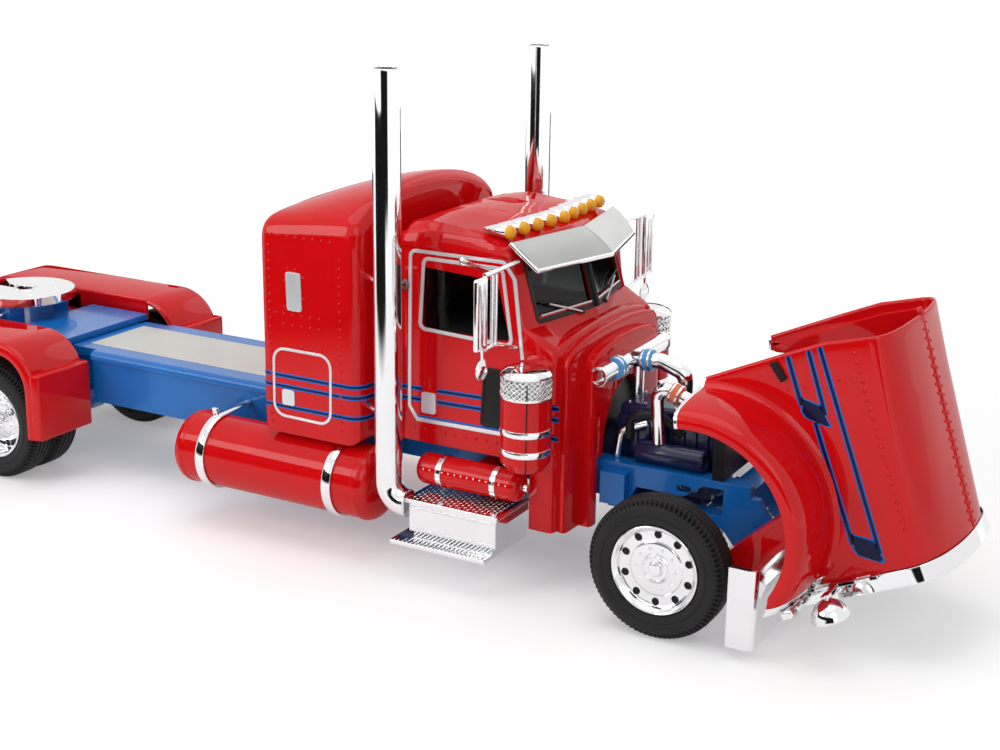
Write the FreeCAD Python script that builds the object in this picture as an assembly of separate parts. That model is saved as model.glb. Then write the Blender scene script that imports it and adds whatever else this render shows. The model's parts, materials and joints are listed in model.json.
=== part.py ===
"""Scale model of a conventional semi truck tractor with a sleeper and a tilting hood.

Millimetres, +X forward, +Y to the truck's left, +Z up, ground at z = 0.
Lengths along the truck are stations measured from the front axle; the finished
pieces are shifted forward by front_axle_x so that the origin lies under the middle
of the whole truck. Pieces of one side are drawn on the right, at negative Y. The
hood's pieces are drawn closed and turned about the hinge to the open place.
"""
import FreeCAD
import Part
import math
import os

V = FreeCAD.Vector

# Placement of the front axle ahead of the origin
front_axle_x = 49.6

# Clearances
running_fit = 0.05
seat_gap = 0.02
hood_gap = 0.35
cut_over = 1.0

# Numbers of flats on turned pieces that repeat
wheel_flats = 24
lamp_flats = 10
hole_flats = 6

# Wheels and tyres
tyre_radius = 8.25
tyre_section = 4.3
tyre_shoulder_drop = 1.1
tyre_shoulder_width = 0.9
rim_radius = 5.25
rim_lip = 0.35
rim_taper = 0.9
rim_inset = 0.5
wheel_track_outer = 18.75
front_dish = 1.1
rear_dish = 3.0
disc_thickness = 1.1
front_hub_reach = 0.4
rear_hub_reach = 1.6
dual_gap = 0.5
axle_radius = 0.7
hub_radius = 1.5
first_drive_x = -100.4
drive_spacing = 21.2
hand_holes = 10
hand_hole_radius = 0.48
hand_hole_circle = 3.75

# Frame
rail_half_width = 6.6
rail_web = 0.9
rail_flange = 2.3
rail_top = 15.4
rail_height = 4.4
frame_front = 7.5
frame_rear = -131.5
cross_width = 3.0
front_plate_x = 3.2
front_plate_drop = 5.6
arch_rear_x = -8.7
arch_depth = 2.6
arch_roof = 0.9
rail_boss_length = 3.2
rail_boss_reach = 1.4
rail_slot_x = -1.7
rail_slot_half = 0.9
rail_slot_radius = 0.42

# Suspension
beam_half = 1.3
spring_inner = 3.6
spring_width = 2.4
housing_radius = 1.5
housing_bulge = 3.2
housing_flats = 16
tyre_side_gap = 0.8
shaft_radius = 0.9
middle_cross_x = -72.0

# Hood hinge
hinge_x = 8.4
hinge_z = 7.9
hinge_pin_radius = 0.6
hinge_pin_proud = 0.3
hinge_ear = 1.2
hinge_ear_half = 2.0
hood_open_deg = 66.0
hinge_arm_inset = 0.3
hinge_arm_width = 1.2
hinge_arm_half = 1.3

# Sleeper
sleeper_rear = -54.2
sleeper_front = -40.0
sleeper_half_width = 16.6
sleeper_floor = 14.7
sleeper_side_top = 40.4
sleeper_roof_rise = 5.0
sleeper_corner = 2.0
sleeper_shoulder = 2.8
shell_wall = 1.0

# Cab
cab_rear = -36.6
cab_half_width = 13.5
cab_floor = 15.9
cab_side_top = 39.0
cab_roof_rise = 5.6
cab_shoulder = 2.6
roof_flat = 7.0
roof_rear_drop = 0.6
boot_half_width = 11.8
boot_floor_rise = 1.0

# Windshield, its two panes meeting in a forward point
glass_base_x = -18.95
glass_base_z = 31.9
glass_base_half = 11.65
glass_point = 2.15
glass_lean = 0.29
brow_height = 9.9
cowl_drop = 1.6
pane_gap = 0.5
pane_rise = 0.9
pane_top = 7.8
glass_depth = 0.3

# Door windows
belt_z = 29.8
door_rear_x = -33.4
door_front_x = -20.9
door_lean = 0.24
door_glass_height = 8.0

# Seats, dashboard and steering wheel
seat_y = 6.0
seat_half = 3.0
seat_rear = -33.0
seat_front = -27.4
seat_top = 22.5
seat_back_x = -34.2
seat_back_depth = 1.8
seat_back_top = 33.0
dash_set = 3.2
column_radius = 0.35
steering_radius = 2.1

# Cowl
cowl_front = -14.5
cowl_seat_low_x = -12.4
cowl_seat_mid_x = -13.0
cowl_seat_mid_z = 17.3
cowl_seat_top = 27.5
cowl_seat_half = 9.3
cowl_skirt_z = 7.6
cowl_skirt_rear = -18.5
cowl_corner = 0.9
cowl_crown = 1.0
cowl_crown_reach = 7.0
cowl_round = 2.0
bay_half_width = 6.5
bay_side_z = 16.0
bay_top = 24.2
bay_inner_y = 7.8
arch_steps = 4
firewall_depth = 0.8

# Hood
hood_rear = -13.2
hood_front = 12.6
hood_half = 10.5
hood_top_rear = 33.2
hood_top_front = 31.0
hood_shoulder_drop = 2.0
hood_crown_drop = 0.8
hood_crown_reach = 4.6
hood_shoulder = 1.5
hood_crown_round = 9.0
hood_side_bottom = 9.3
hood_wall = 0.8
inner_overlap = 0.2

# Front fenders, turned about a centre near the axle
fender_x = 0.95
fender_z = 6.0
fender_overhang = 0.05
fender_lip_radius = 11.4
fender_band = 0.9
fender_ridge_radius = 13.1
fender_crown_radius = 14.0
fender_wall = 0.8
fender_rear_deg = 163.0
fender_front_deg = 22.0
fender_front_x = 11.3
fender_trim = 0.8
fender_trim_deg = 1.8

# Grille, headlamps and latches on the hood
grille_depth = 1.3
grille_bottom = 12.2
grille_frame = 1.0
grille_outset = 0.9
grille_bar_count = 17
grille_bar_width = 0.34
grille_bar_depth = 0.6
grille_back = 0.4
grille_back_set = 0.2
lamp_y = 15.2
lamp_z = 17.2
lamp_back_x = 12.6
lamp_depth = 2.2
bowl_radius = 2.1
bracket_thick = 0.46
bracket_width = 1.15
bracket_low = 13.7
bracket_high = 22.3
slot_height = 1.6
slot_width = 0.5
arm_half = 0.4
signal_low = 12.9
signal_high = 14.3
signal_depth = 1.2
signal_outer = 18.0
latch_z = 18.3
latch_height = 0.9
latch_front = -10.9
latch_proud = 0.45

# Bumper
bumper_front = 12.1
bumper_wrap = 3.2
bumper_bottom = 1.5
bumper_top = 10.8
bumper_wall = 0.8
bumper_corner = 1.0
bumper_notch = 3.6

# Engine bay
engine_rear = -12.0
engine_front = 0.4
engine_half = 3.3
engine_base = 11.6
engine_top = 20.2
head_half = 2.5
head_height = 1.4
head_round = 0.6
sump_height = 1.8
bell_radius = 3.4
turbo_radius = 1.3
turbo_y = 4.6
turbo_length = 8.6
turbo_set = 3.4
turbo_end_share = 0.7
turbo_chamfer = 0.6
radiator_x = 1.6
radiator_depth = 1.4
radiator_half = 6.4
radiator_top = 25.5

# Intake and charge pipes
crossbar_x = -12.0
crossbar_z = 26.3
crossbar_radius = 1.05
crossbar_half = 9.2
flange_radius = 1.45
flange_width = 0.7
branch_y = -1.0
branch_radius = 0.95
branch_bend_x = -4.4
stub_radius = 0.7
charge_radius = 0.85
charge_x = -5.9
charge_top = 25.3
charge_fall = 3.0
charge_bend = 0.9
header_radius = 0.5
header_bend = 1.0
coupler_proud = 0.35
coupler_length = 1.5
bar_coupler_y = 5.2
branch_coupler = 1.9
charge_coupler_set = 1.9
pipe_bend = 1.5

# Deck and coupling
deck_rear = -95.0
deck_step = -90.6
deck_top = 17.4
deck_thickness = 1.2
deck_half_width = 8.9
deck_neck_half_width = 7.5
deck_round = 0.9
deck_insert_half = 5.5
deck_insert_rise = 0.15
deck_insert_set = 1.4
skirt_bottom = 10.1
skirt_wall = 0.9
skirt_inset = 0.4
plate_rear = -106.4
plate_front = -95.6
plate_half_width = 8.6
plate_thickness = 0.9
fifth_wheel_x = -111.3
fifth_wheel_top = 22.0
fifth_wheel_radius = 7.1
fifth_wheel_thickness = 1.3
kingpin_radius = 1.1
throat_half_width = 0.72
throat_neck = 4.0
throat_mouth_half = 3.6
pedestal_half_length = 2.6
pedestal_inner = 3.0
pedestal_width = 2.8
pedestal_base = 2.2

# Rear fenders
rear_fender_overhang = 0.65
rear_fender_inner = 9.6
rear_fender_top = 20.2
rear_fender_wall = 0.9
rear_fender_lip = 1.7
rear_fender_reach = 9.4
rear_fender_round = 6.5
rear_fender_foot = 7.2
rear_panel_x = -90.2
rear_panel_top = 16.4
rear_bracket_half = 1.4
rear_bracket_width = 0.8
rear_tongue = 1.6
rear_tongue_drop = 2.6

# Tanks and steps
fuel_tank_rear = -68.6
fuel_tank_front = -38.2
fuel_tank_radius = 4.75
fuel_tank_y = 14.0
fuel_tank_z = 9.5
tank_end_depth = 1.0
tank_end_round = 1.1
strap_width = 1.3
strap_rise = 0.25
strap_rear_inset = 5.2
strap_front_inset = 5.6
hanger_half = 0.6
hanger_low = 11.2
hanger_height = 1.8
hanger_reach = 2.0
air_tank_rear = -32.6
air_tank_front = -18.6
air_tank_radius = 1.9
air_tank_y = 14.6
air_tank_z = 13.2
air_end_depth = 0.7
air_end_round = 0.8
air_hanger_width = 2.0
air_hanger_half = 0.8
step_rear = -31.8
step_front = -20.0
step_outer = 18.6
step_inner = 9.2
step_top = 10.6
step_bottom = 6.5
step_lid = 0.5
step_lid_over = 0.35
lower_step_rear = -34.0
lower_step_front = -21.0
lower_step_outer = 19.5
lower_step_z = 4.7
lower_step_thick = 0.5
step_hanger_inset = 1.8

# Exhaust stacks and air cleaners
stack_x = -35.0
stack_y = 18.1
stack_radius = 1.65
stack_wall = 0.3
stack_top = 60.9
stack_bore = 20.0
stack_bend = 2.4
elbow_z = 9.7
stack_clip_radius = 0.45
stack_clip_high = 36.0
stack_clip_low = 20.0
cleaner_x = -17.4
cleaner_y = 16.5
cleaner_radius = 2.9
cleaner_top = 28.6
cleaner_cap_height = 3.4
cleaner_lid = 0.9
cleaner_bottom = 16.4
cleaner_foot = 1.0
cleaner_foot_radius = 2.1

# Visor, lamps and mirrors
visor_half_width = 13.3
visor_top_x = -21.65
visor_top_z = 41.5
visor_reach = 3.3
visor_drop = 2.9
visor_top_point = 2.45
visor_low_point = 3.2
visor_taper = 0.6
visor_wall = 0.45
lamp_count = 9
lamp_half_span = 11.5
lamp_radius = 0.75
lamp_tail = 0.25
lamp_length = 2.8
lamp_front_x = -21.8
lamp_sweep = 1.0
lamp_row_z = 42.6
mirror_x = -20.3
mirror_outer = 23.15
mirror_width = 2.5
mirror_thickness = 0.6
mirror_top = 39.5
mirror_bottom = 31.3
mirror_arm_radius = 0.25
mirror_arm_back = 1.0
mirror_post_y = 19.0
spot_radius = 1.0
spot_drop = 1.3

# Sizes that follow from these
sleeper_crown = sleeper_side_top + sleeper_roof_rise
cab_crown = cab_side_top + cab_roof_rise
fender_outer = wheel_track_outer + fender_overhang
rear_fender_outer = wheel_track_outer + rear_fender_overhang
rail_low = rail_top - rail_height
turbo_z = rail_top + turbo_radius + seat_gap


def box(x0, x1, y0, y1, z0, z1):
    """A block between two corners."""
    return Part.makeBox(x1 - x0, y1 - y0, z1 - z0, V(x0, y0, z0))


def rod(radius, start, end):
    """A round bar from one point to another."""
    axis = end.sub(start)
    return Part.makeCylinder(radius, axis.Length, start, axis)


def across(radius, x, z, y0, y1):
    """A round bar along Y."""
    return Part.makeCylinder(radius, y1 - y0, V(x, y0, z), V(0, 1, 0))


def side_prism(points, y0, y1):
    """A solid with an XZ outline, from y0 to y1."""
    wire = Part.makePolygon([V(x, y0, z) for x, z in points] + [V(points[0][0], y0, points[0][1])])
    return Part.Face(wire).extrude(V(0, y1 - y0, 0))


def front_prism(points, x0, x1):
    """A solid with a YZ outline, from x0 to x1."""
    wire = Part.makePolygon([V(x0, y, z) for y, z in points] + [V(x0, points[0][0], points[0][1])])
    return Part.Face(wire).extrude(V(x1 - x0, 0, 0))


def plan_prism(points, z0, z1):
    """A solid with an XY outline, from z0 to z1."""
    wire = Part.makePolygon([V(x, y, z0) for x, y in points] + [V(points[0][0], points[0][1], z0)])
    return Part.Face(wire).extrude(V(0, 0, z1 - z0))


def fused(shapes):
    """One solid from several that touch or overlap."""
    whole = shapes[0].multiFuse(shapes[1:]) if len(shapes) > 1 else shapes[0]
    return whole.removeSplitter()


def mirrored(shape):
    """The same shape on the other side of the truck."""
    return shape.mirror(V(0, 0, 0), V(0, 1, 0))


def both_sides(shape):
    """A shape and its mirror image, as solids that stay apart."""
    return Part.makeCompound(shape.Solids + mirrored(shape).Solids)


def rounded(shape, radius, wanted):
    """Fillet the edges that a test on an edge picks."""
    edges = [edge for edge in shape.Edges if wanted(edge)]
    return shape.makeFillet(radius, edges) if edges else shape


def along(edge, direction):
    """Whether a straight edge runs along a direction."""
    if edge.Curve.TypeId != "Part::GeomLine":
        return False
    return abs(abs(edge.Curve.Direction.dot(direction)) - 1.0) < 1e-6


def ring(radius, centre, axis, flats):
    """A regular polygon square to the X or Y axis, a flat at the bottom at the given radius."""
    corner = radius / math.cos(math.pi / flats)
    points = []
    for index in range(flats + 1):
        angle = 2 * math.pi * (index + 0.5) / flats
        side = corner * math.sin(angle)
        up = -corner * math.cos(angle)
        points.append(centre.add(V(side, 0, up) if axis == "Y" else V(0, side, up)))
    return Part.makePolygon(points)


def turned(stations, centre, axis, flats):
    """A turned solid drawn with flats, from (place along the axis, radius) stations."""
    step = V(0, 1, 0) if axis == "Y" else V(1, 0, 0)
    wires = [ring(radius, centre.add(step * place), axis, flats) for place, radius in stations]
    return Part.makeLoft(wires, True, True)


def revolved_x(points, y, z):
    """A true turned solid about a line along X, from (x, radius) points that start and end on it."""
    wire = Part.makePolygon([V(x, y, z + r) for x, r in points] + [V(points[0][0], y, z + points[0][1])])
    return Part.Face(wire).revolve(V(0, y, z), V(1, 0, 0), 360)


def pipe(points, radius, bend):
    """A round pipe through corner points, each corner cut by one slanted length."""
    path = [points[0]]
    for index in range(1, len(points) - 1):
        corner = points[index]
        inward = corner.sub(points[index - 1]).normalize()
        outward = points[index + 1].sub(corner).normalize()
        setback = bend * math.tan(inward.getAngle(outward) / 2)
        path.append(corner.sub(inward * setback))
        path.append(corner.add(outward * setback))
    path.append(points[-1])
    lengths = []
    for index in range(1, len(path)):
        start, end = path[index - 1], path[index]
        reach = end.sub(start).normalize() * radius
        lengths.append(rod(radius, start.sub(reach) if index > 1 else start,
                           end.add(reach) if index < len(path) - 1 else end))
    for index in range(1, len(path) - 1):
        corner = path[index]
        mitre = corner.sub(path[index - 1]).normalize().add(path[index + 1].sub(corner).normalize())
        lengths[index - 1] = lengths[index - 1].cut(rod(3 * radius, corner, corner.add(mitre.normalize() * 3 * radius)))
        lengths[index] = lengths[index].cut(rod(3 * radius, corner, corner.sub(mitre * 3 * radius)))
    return fused(lengths)


def arch_outline(half_width, bottom, side_top, crown_top, shoulder, x):
    """A closed YZ wire: upright sides, round shoulders and a crowned top, all tangent."""
    reach = half_width - shoulder
    drop = side_top - crown_top
    crown_radius = (shoulder ** 2 - reach ** 2 - drop ** 2) / (2 * (drop + shoulder))
    centre_z = crown_top - crown_radius
    lean = math.atan2(reach, side_top - centre_z)
    meet_y = crown_radius * math.sin(lean)
    meet_z = centre_z + crown_radius * math.cos(lean)
    half_turn = (math.pi / 2 + lean) / 2
    mid_y = reach + shoulder * math.sin(half_turn)
    mid_z = side_top + shoulder * math.cos(half_turn)
    edges = [
        Part.LineSegment(V(x, -half_width, bottom), V(x, -half_width, side_top)).toShape(),
        Part.Arc(V(x, -half_width, side_top), V(x, -mid_y, mid_z), V(x, -meet_y, meet_z)).toShape(),
        Part.Arc(V(x, -meet_y, meet_z), V(x, 0, crown_top), V(x, meet_y, meet_z)).toShape(),
        Part.Arc(V(x, meet_y, meet_z), V(x, mid_y, mid_z), V(x, half_width, side_top)).toShape(),
        Part.LineSegment(V(x, half_width, side_top), V(x, half_width, bottom)).toShape(),
        Part.LineSegment(V(x, half_width, bottom), V(x, -half_width, bottom)).toShape(),
    ]
    return Part.Wire(edges)


def arch_body(x0, x1, half_width, bottom, side_top, crown_top, shoulder):
    """An upright body of one cross-section along X."""
    wire = arch_outline(half_width, bottom, side_top, crown_top, shoulder, x0)
    return Part.Face(wire).extrude(V(x1 - x0, 0, 0))


def frame_rail():
    """The right rail: a channel, its arched front over the beam, and the hinge ear."""
    outer = -rail_half_width
    profile = [(frame_rear, rail_top), (hinge_x - hinge_ear_half, rail_top), (frame_front - 1.0, rail_top - 1.3),
               (frame_front, rail_top - 1.3), (hinge_x + hinge_ear_half, hinge_z + hinge_ear_half),
               (hinge_x + hinge_ear_half, hinge_z - hinge_ear_half),
               (hinge_x - hinge_ear_half, hinge_z - hinge_ear_half), (front_plate_x, rail_top - front_plate_drop),
               (front_plate_x, rail_top - arch_roof), (rail_slot_x + 2.4, rail_top - arch_roof),
               (rail_slot_x, rail_top - arch_depth), (arch_rear_x + rail_web, rail_top - arch_depth),
               (arch_rear_x, rail_low), (frame_rear, rail_low)]
    web = side_prism(profile, outer, outer + rail_web)
    top = box(frame_rear, front_plate_x + cross_width, outer, outer + rail_flange, rail_top - rail_web,
              rail_top)
    low = box(frame_rear, arch_rear_x, outer, outer + rail_flange, rail_low, rail_low + rail_web)
    ear = box(hinge_x - hinge_ear_half, hinge_x + hinge_ear_half, outer, outer + hinge_ear,
              hinge_z - hinge_ear_half, hinge_z + hinge_ear_half)
    boss = box(arch_rear_x - rail_boss_length, arch_rear_x, outer - rail_boss_reach, outer,
               rail_low - rail_web / 2, rail_top - rail_web)
    slot_z = rail_top - arch_depth + rail_web
    slot = fused([across(rail_slot_radius, rail_slot_x + side * (rail_slot_half - rail_slot_radius), slot_z,
                         outer - cut_over, outer + rail_web + cut_over) for side in (-1, 1)]
                 + [box(rail_slot_x - rail_slot_half + rail_slot_radius, rail_slot_x + rail_slot_half - rail_slot_radius,
                        outer - cut_over, outer + rail_web + cut_over, slot_z - rail_slot_radius,
                        slot_z + rail_slot_radius)])
    return fused([web, top, low, ear, boss]).cut(slot)


def frame_rails():
    """Two channel rails tied by crossmembers, with hinge ears at the front."""
    rail = frame_rail()
    pieces = [rail, mirrored(rail)]
    inner = rail_half_width - rail_web
    for x in cross_stations():
        pieces.append(box(x - cross_width / 2, x + cross_width / 2, -inner, inner, rail_low, rail_top - rail_web))
    bore = across(hinge_pin_radius + running_fit, hinge_x, hinge_z, -rail_half_width - cut_over,
                  rail_half_width + cut_over)
    return fused(pieces).cut(bore)


def cross_stations():
    """Stations of the crossmembers between the rails."""
    last = first_drive_x - drive_spacing
    front = front_plate_x + cross_width / 2
    return [frame_rear + cross_width / 2, last - 5.0, (first_drive_x + last) / 2,
            deck_rear + 5.0, middle_cross_x, sleeper_rear, sleeper_front + 2.0, step_front, front]


def front_suspension():
    """The dropped front beam and its two leaf packs, drilled for the wheel pin."""
    reach = wheel_track_outer - tyre_section - tyre_side_gap
    beam = box(-beam_half, beam_half, -reach, reach, tyre_radius - beam_half, tyre_radius + beam_half)
    spring = box(arch_rear_x - tyre_side_gap, front_plate_x, spring_inner, spring_inner + spring_width,
                 tyre_radius + beam_half, rail_low)
    rear_hanger = box(arch_rear_x - cross_width, arch_rear_x - tyre_side_gap, spring_inner,
                      spring_inner + spring_width, tyre_radius + beam_half, rail_low)
    bore = across(axle_radius + running_fit, 0, tyre_radius, -reach - cut_over, reach + cut_over)
    return fused([beam, spring, rear_hanger, mirrored(spring), mirrored(rear_hanger)]).cut(bore)


def drive_stations():
    """Stations of the two driven axles."""
    return [first_drive_x, first_drive_x - drive_spacing]


def dual_inner_face():
    """Distance from the centre plane to the inner side of the inner rear tyre."""
    return wheel_track_outer - 2 * tyre_section - dual_gap


def rear_suspension():
    """Two axle housings with round centres, and the springs that carry them."""
    reach = dual_inner_face() - dual_gap
    spring_outer = spring_inner + spring_width
    pieces = []
    for x in drive_stations():
        stations = [(-reach, housing_radius), (-housing_bulge, housing_radius), (-housing_radius, housing_bulge),
                    (housing_radius, housing_bulge), (housing_bulge, housing_radius), (reach, housing_radius)]
        housing = turned(stations, V(x, 0, tyre_radius), "Y", housing_flats)
        saddle = box(x - housing_bulge, x + housing_bulge, spring_inner, spring_outer,
                     tyre_radius + axle_radius + running_fit, rail_low)
        pieces.extend([housing, saddle, mirrored(saddle)])
    beam = box(drive_stations()[1], drive_stations()[0], spring_inner, spring_outer,
               tyre_radius - axle_radius, tyre_radius + axle_radius)
    pieces.extend([beam, mirrored(beam)])
    whole = fused(pieces)
    for x in drive_stations():
        whole = whole.cut(across(axle_radius + running_fit, x, tyre_radius, -reach - cut_over, reach + cut_over))
    return whole


def drive_shafts():
    """The shaft from the gearbox to the first driven axle."""
    start = V(sleeper_front + 2.0, 0, rail_low - 1.0)
    return rod(shaft_radius, start, V(first_drive_x + housing_bulge + seat_gap, 0, tyre_radius + axle_radius))


def engine_block():
    """The engine: block, rounded head cover, sump, bell housing and the drums along its sides."""
    block = box(engine_rear, engine_front, -engine_half, engine_half, engine_base, engine_top)
    head = box(engine_rear, engine_front - 1.0, -head_half, head_half, engine_top, engine_top + head_height)
    head = rounded(head, head_round, lambda e: e.CenterOfMass.z > engine_top + head_height - 0.01)
    sump = box(engine_rear + 1.0, engine_front - 1.5, -head_half, head_half, engine_base - sump_height, engine_base)
    bell = rod(bell_radius, V(cowl_front + firewall_depth + seat_gap, 0, engine_base + bell_radius),
               V(engine_rear, 0, engine_base + bell_radius))
    drum_rear = engine_rear + turbo_set
    drum_front = drum_rear + turbo_length
    end_radius = turbo_radius * turbo_end_share
    drum = turned([(drum_rear, end_radius), (drum_rear + turbo_chamfer, turbo_radius),
                   (drum_front - turbo_chamfer, turbo_radius), (drum_front, end_radius)],
                  V(0, -turbo_y, turbo_z), "X", lamp_flats)
    return fused([block, head, sump, bell, drum, mirrored(drum)])


def radiator():
    """The radiator core standing across the rails."""
    return box(radiator_x, radiator_x + radiator_depth, -radiator_half, radiator_half, rail_top, radiator_top)


def bay_outline(inset):
    """The arched YZ outline of the opening in the cowl's front, drawn in by an inset."""
    half = bay_half_width - inset
    rise = bay_top - bay_side_z - inset
    side = [(half, rail_top - cut_over)]
    for step in range(arch_steps):
        angle = step * math.pi / 2 / arch_steps
        side.append((half * math.cos(angle), bay_side_z + rise * math.sin(angle)))
    return [(-y, z) for y, z in side] + [(0, bay_side_z + rise)] + list(reversed(side))


def firewall():
    """The black wall behind the engine, inside the cowl's opening."""
    inset = seat_gap + running_fit
    wall = front_prism(bay_outline(inset), cowl_front + seat_gap, cowl_front + firewall_depth)
    rails = box(cowl_front - cut_over, cowl_front + cut_over + firewall_depth, -radiator_half * 2, radiator_half * 2,
                0, rail_top + seat_gap)
    return wall.cut(rails)


def crossbar():
    """The straight chrome intake pipe across the bay, flanged at both ends, on its upright stub."""
    half = crossbar_half
    bar = across(crossbar_radius, crossbar_x, crossbar_z, -half, half)
    flange = across(flange_radius, crossbar_x, crossbar_z, -half, -half + flange_width)
    stub_x = crossbar_x + stub_radius + 0.3
    stub = rod(stub_radius, V(stub_x, 0, engine_top + head_height), V(stub_x, 0, crossbar_z))
    return [bar, flange, mirrored(flange), stub]


def branch_points():
    """Corner points of the pipe that leads forward from the crossbar and down to the head cover."""
    return [V(crossbar_x, branch_y, crossbar_z + 0.3), V(crossbar_x + 4.4, branch_y, crossbar_z + 0.6),
            V(branch_bend_x, branch_y, crossbar_z - 0.5), V(branch_bend_x, branch_y, engine_top + head_height)]


def charge_points():
    """Corner points of the pipe from the drum on the engine's side over to the radiator."""
    return [V(charge_x, -turbo_y, turbo_z + turbo_radius), V(charge_x - 0.6, -turbo_y, charge_top),
            V(radiator_x, -turbo_y, charge_top - charge_fall)]


def header_points():
    """Corner points of the thin curved pipe from the rail up to the engine's side."""
    foot = V(engine_rear + 0.8, -turbo_y - 0.3, rail_top)
    return [foot, foot.add(V(0.5, 0, 3.4)), V(engine_rear + 3.8, -engine_half, engine_top - 0.6)]


def intake_pipes():
    """All the chrome pipes of the bay: intake with its branch, charge pipe and thin header pipe."""
    branch = pipe(branch_points(), branch_radius, pipe_bend)
    intake = fused(crossbar() + [branch])
    engine = engine_block()
    core = box(radiator_x - seat_gap, frame_front, -radiator_half, radiator_half, rail_top, radiator_top)
    charge = pipe(charge_points(), charge_radius, charge_bend).cut(engine).cut(core)
    rails = box(engine_rear - bell_radius, engine_front, -rail_half_width, rail_half_width, rail_low,
                rail_top + seat_gap)
    header = pipe(header_points(), header_radius, header_bend).cut(engine).cut(rails)
    return Part.makeCompound([max(solid.Solids, key=lambda piece: piece.Volume)
                              for solid in (intake, charge, header)])


def sleeve(start, end, inner_radius):
    """A coupler sleeve round a straight length of pipe."""
    over = end.sub(start).normalize() * cut_over
    outside = rod(inner_radius + coupler_proud, start, end)
    return outside.cut(rod(inner_radius + seat_gap, start.sub(over), end.add(over)))


def intake_couplers():
    """The two light blue sleeves, on the crossbar and on the branch."""
    first = sleeve(V(crossbar_x, -bar_coupler_y, crossbar_z), V(crossbar_x, -bar_coupler_y + coupler_length, crossbar_z),
                   crossbar_radius)
    start, bend = branch_points()[:2]
    way = bend.sub(start).normalize()
    second = sleeve(start.add(way * branch_coupler), start.add(way * (branch_coupler + coupler_length)),
                    branch_radius)
    return Part.makeCompound([first, second])


def charge_coupler():
    """The orange sleeve on the charge pipe's top run."""
    bend, end = charge_points()[1:]
    way = end.sub(bend).normalize()
    return sleeve(bend.add(way * charge_coupler_set), bend.add(way * (charge_coupler_set + coupler_length)),
                  charge_radius)


def bumper():
    """A deep bumper whose ends wrap back, hung on two brackets."""
    outer = box(bumper_front - bumper_wrap, bumper_front, -fender_outer, fender_outer, bumper_bottom, bumper_top)
    outer = rounded(outer, bumper_corner,
                    lambda e: along(e, V(0, 0, 1)) and e.CenterOfMass.x > bumper_front - 0.1)
    inner = box(bumper_front - bumper_wrap - cut_over, bumper_front - bumper_wall, -fender_outer + bumper_wall,
                fender_outer - bumper_wall, bumper_bottom - cut_over, bumper_top + cut_over)
    bracket = box(hinge_x + hinge_ear_half, bumper_front - bumper_wall, rail_half_width - hinge_ear,
                  rail_half_width, hinge_z - hinge_ear_half, hinge_z + hinge_ear_half)
    arm_outer = hinge_arm_outer() + hood_gap
    notch = box(bumper_front - 2 * bumper_wall, bumper_front + cut_over, -arm_outer,
                -arm_outer + hinge_arm_width + 2 * hood_gap, hinge_z - bumper_notch, bumper_top + cut_over)
    shell = outer.cut(inner).cut(notch).cut(mirrored(notch))
    return fused([shell, bracket, mirrored(bracket)])


def rounded_slab(x0, x1, half_width, bottom, top, corner):
    """A block whose upright corners and upper cross edges are rounded, as two crossing profiles."""
    plan = box(x0, x1, -half_width, half_width, bottom, top)
    plan = rounded(plan, corner, lambda e: along(e, V(0, 0, 1)))
    side = box(x0, x1, -half_width, half_width, bottom, top)
    side = rounded(side, corner, lambda e: along(e, V(0, 1, 0)) and e.CenterOfMass.z > top - 0.1)
    return plan.common(side)


def sleeper_shell():
    """The hollow sleeper box with its crowned roof, and the boot to the cab."""
    arch = arch_body(sleeper_rear, sleeper_front, sleeper_half_width, sleeper_floor, sleeper_side_top,
                     sleeper_crown, sleeper_shoulder)
    outer = arch.common(rounded_slab(sleeper_rear, sleeper_front, sleeper_half_width, sleeper_floor,
                                     sleeper_crown, sleeper_corner))
    inner = arch_body(sleeper_rear + shell_wall, sleeper_front - shell_wall,
                      sleeper_half_width - shell_wall, rail_top + shell_wall, sleeper_side_top - shell_wall,
                      sleeper_crown - 2 * shell_wall, sleeper_shoulder - shell_wall)
    boot_low = cab_floor + boot_floor_rise
    boot = box(sleeper_front - shell_wall, cab_rear - seat_gap, -boot_half_width, boot_half_width,
               boot_low, cab_side_top)
    boot_inside = box(sleeper_front - 2 * shell_wall, cab_rear, -boot_half_width + shell_wall,
                      boot_half_width - shell_wall, boot_low + shell_wall, cab_side_top - shell_wall)
    saddle = box(sleeper_rear - cut_over, sleeper_front + cut_over, -rail_half_width - seat_gap,
                 rail_half_width + seat_gap, 0, rail_top)
    return fused([outer.cut(inner), boot]).cut(boot_inside).cut(saddle)


def glass_x(y, z):
    """Station of the windshield's plane at a height and a distance from the middle."""
    centre = glass_base_x + glass_point - glass_lean * (z - glass_base_z)
    return centre - glass_point * abs(y) / glass_base_half


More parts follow.
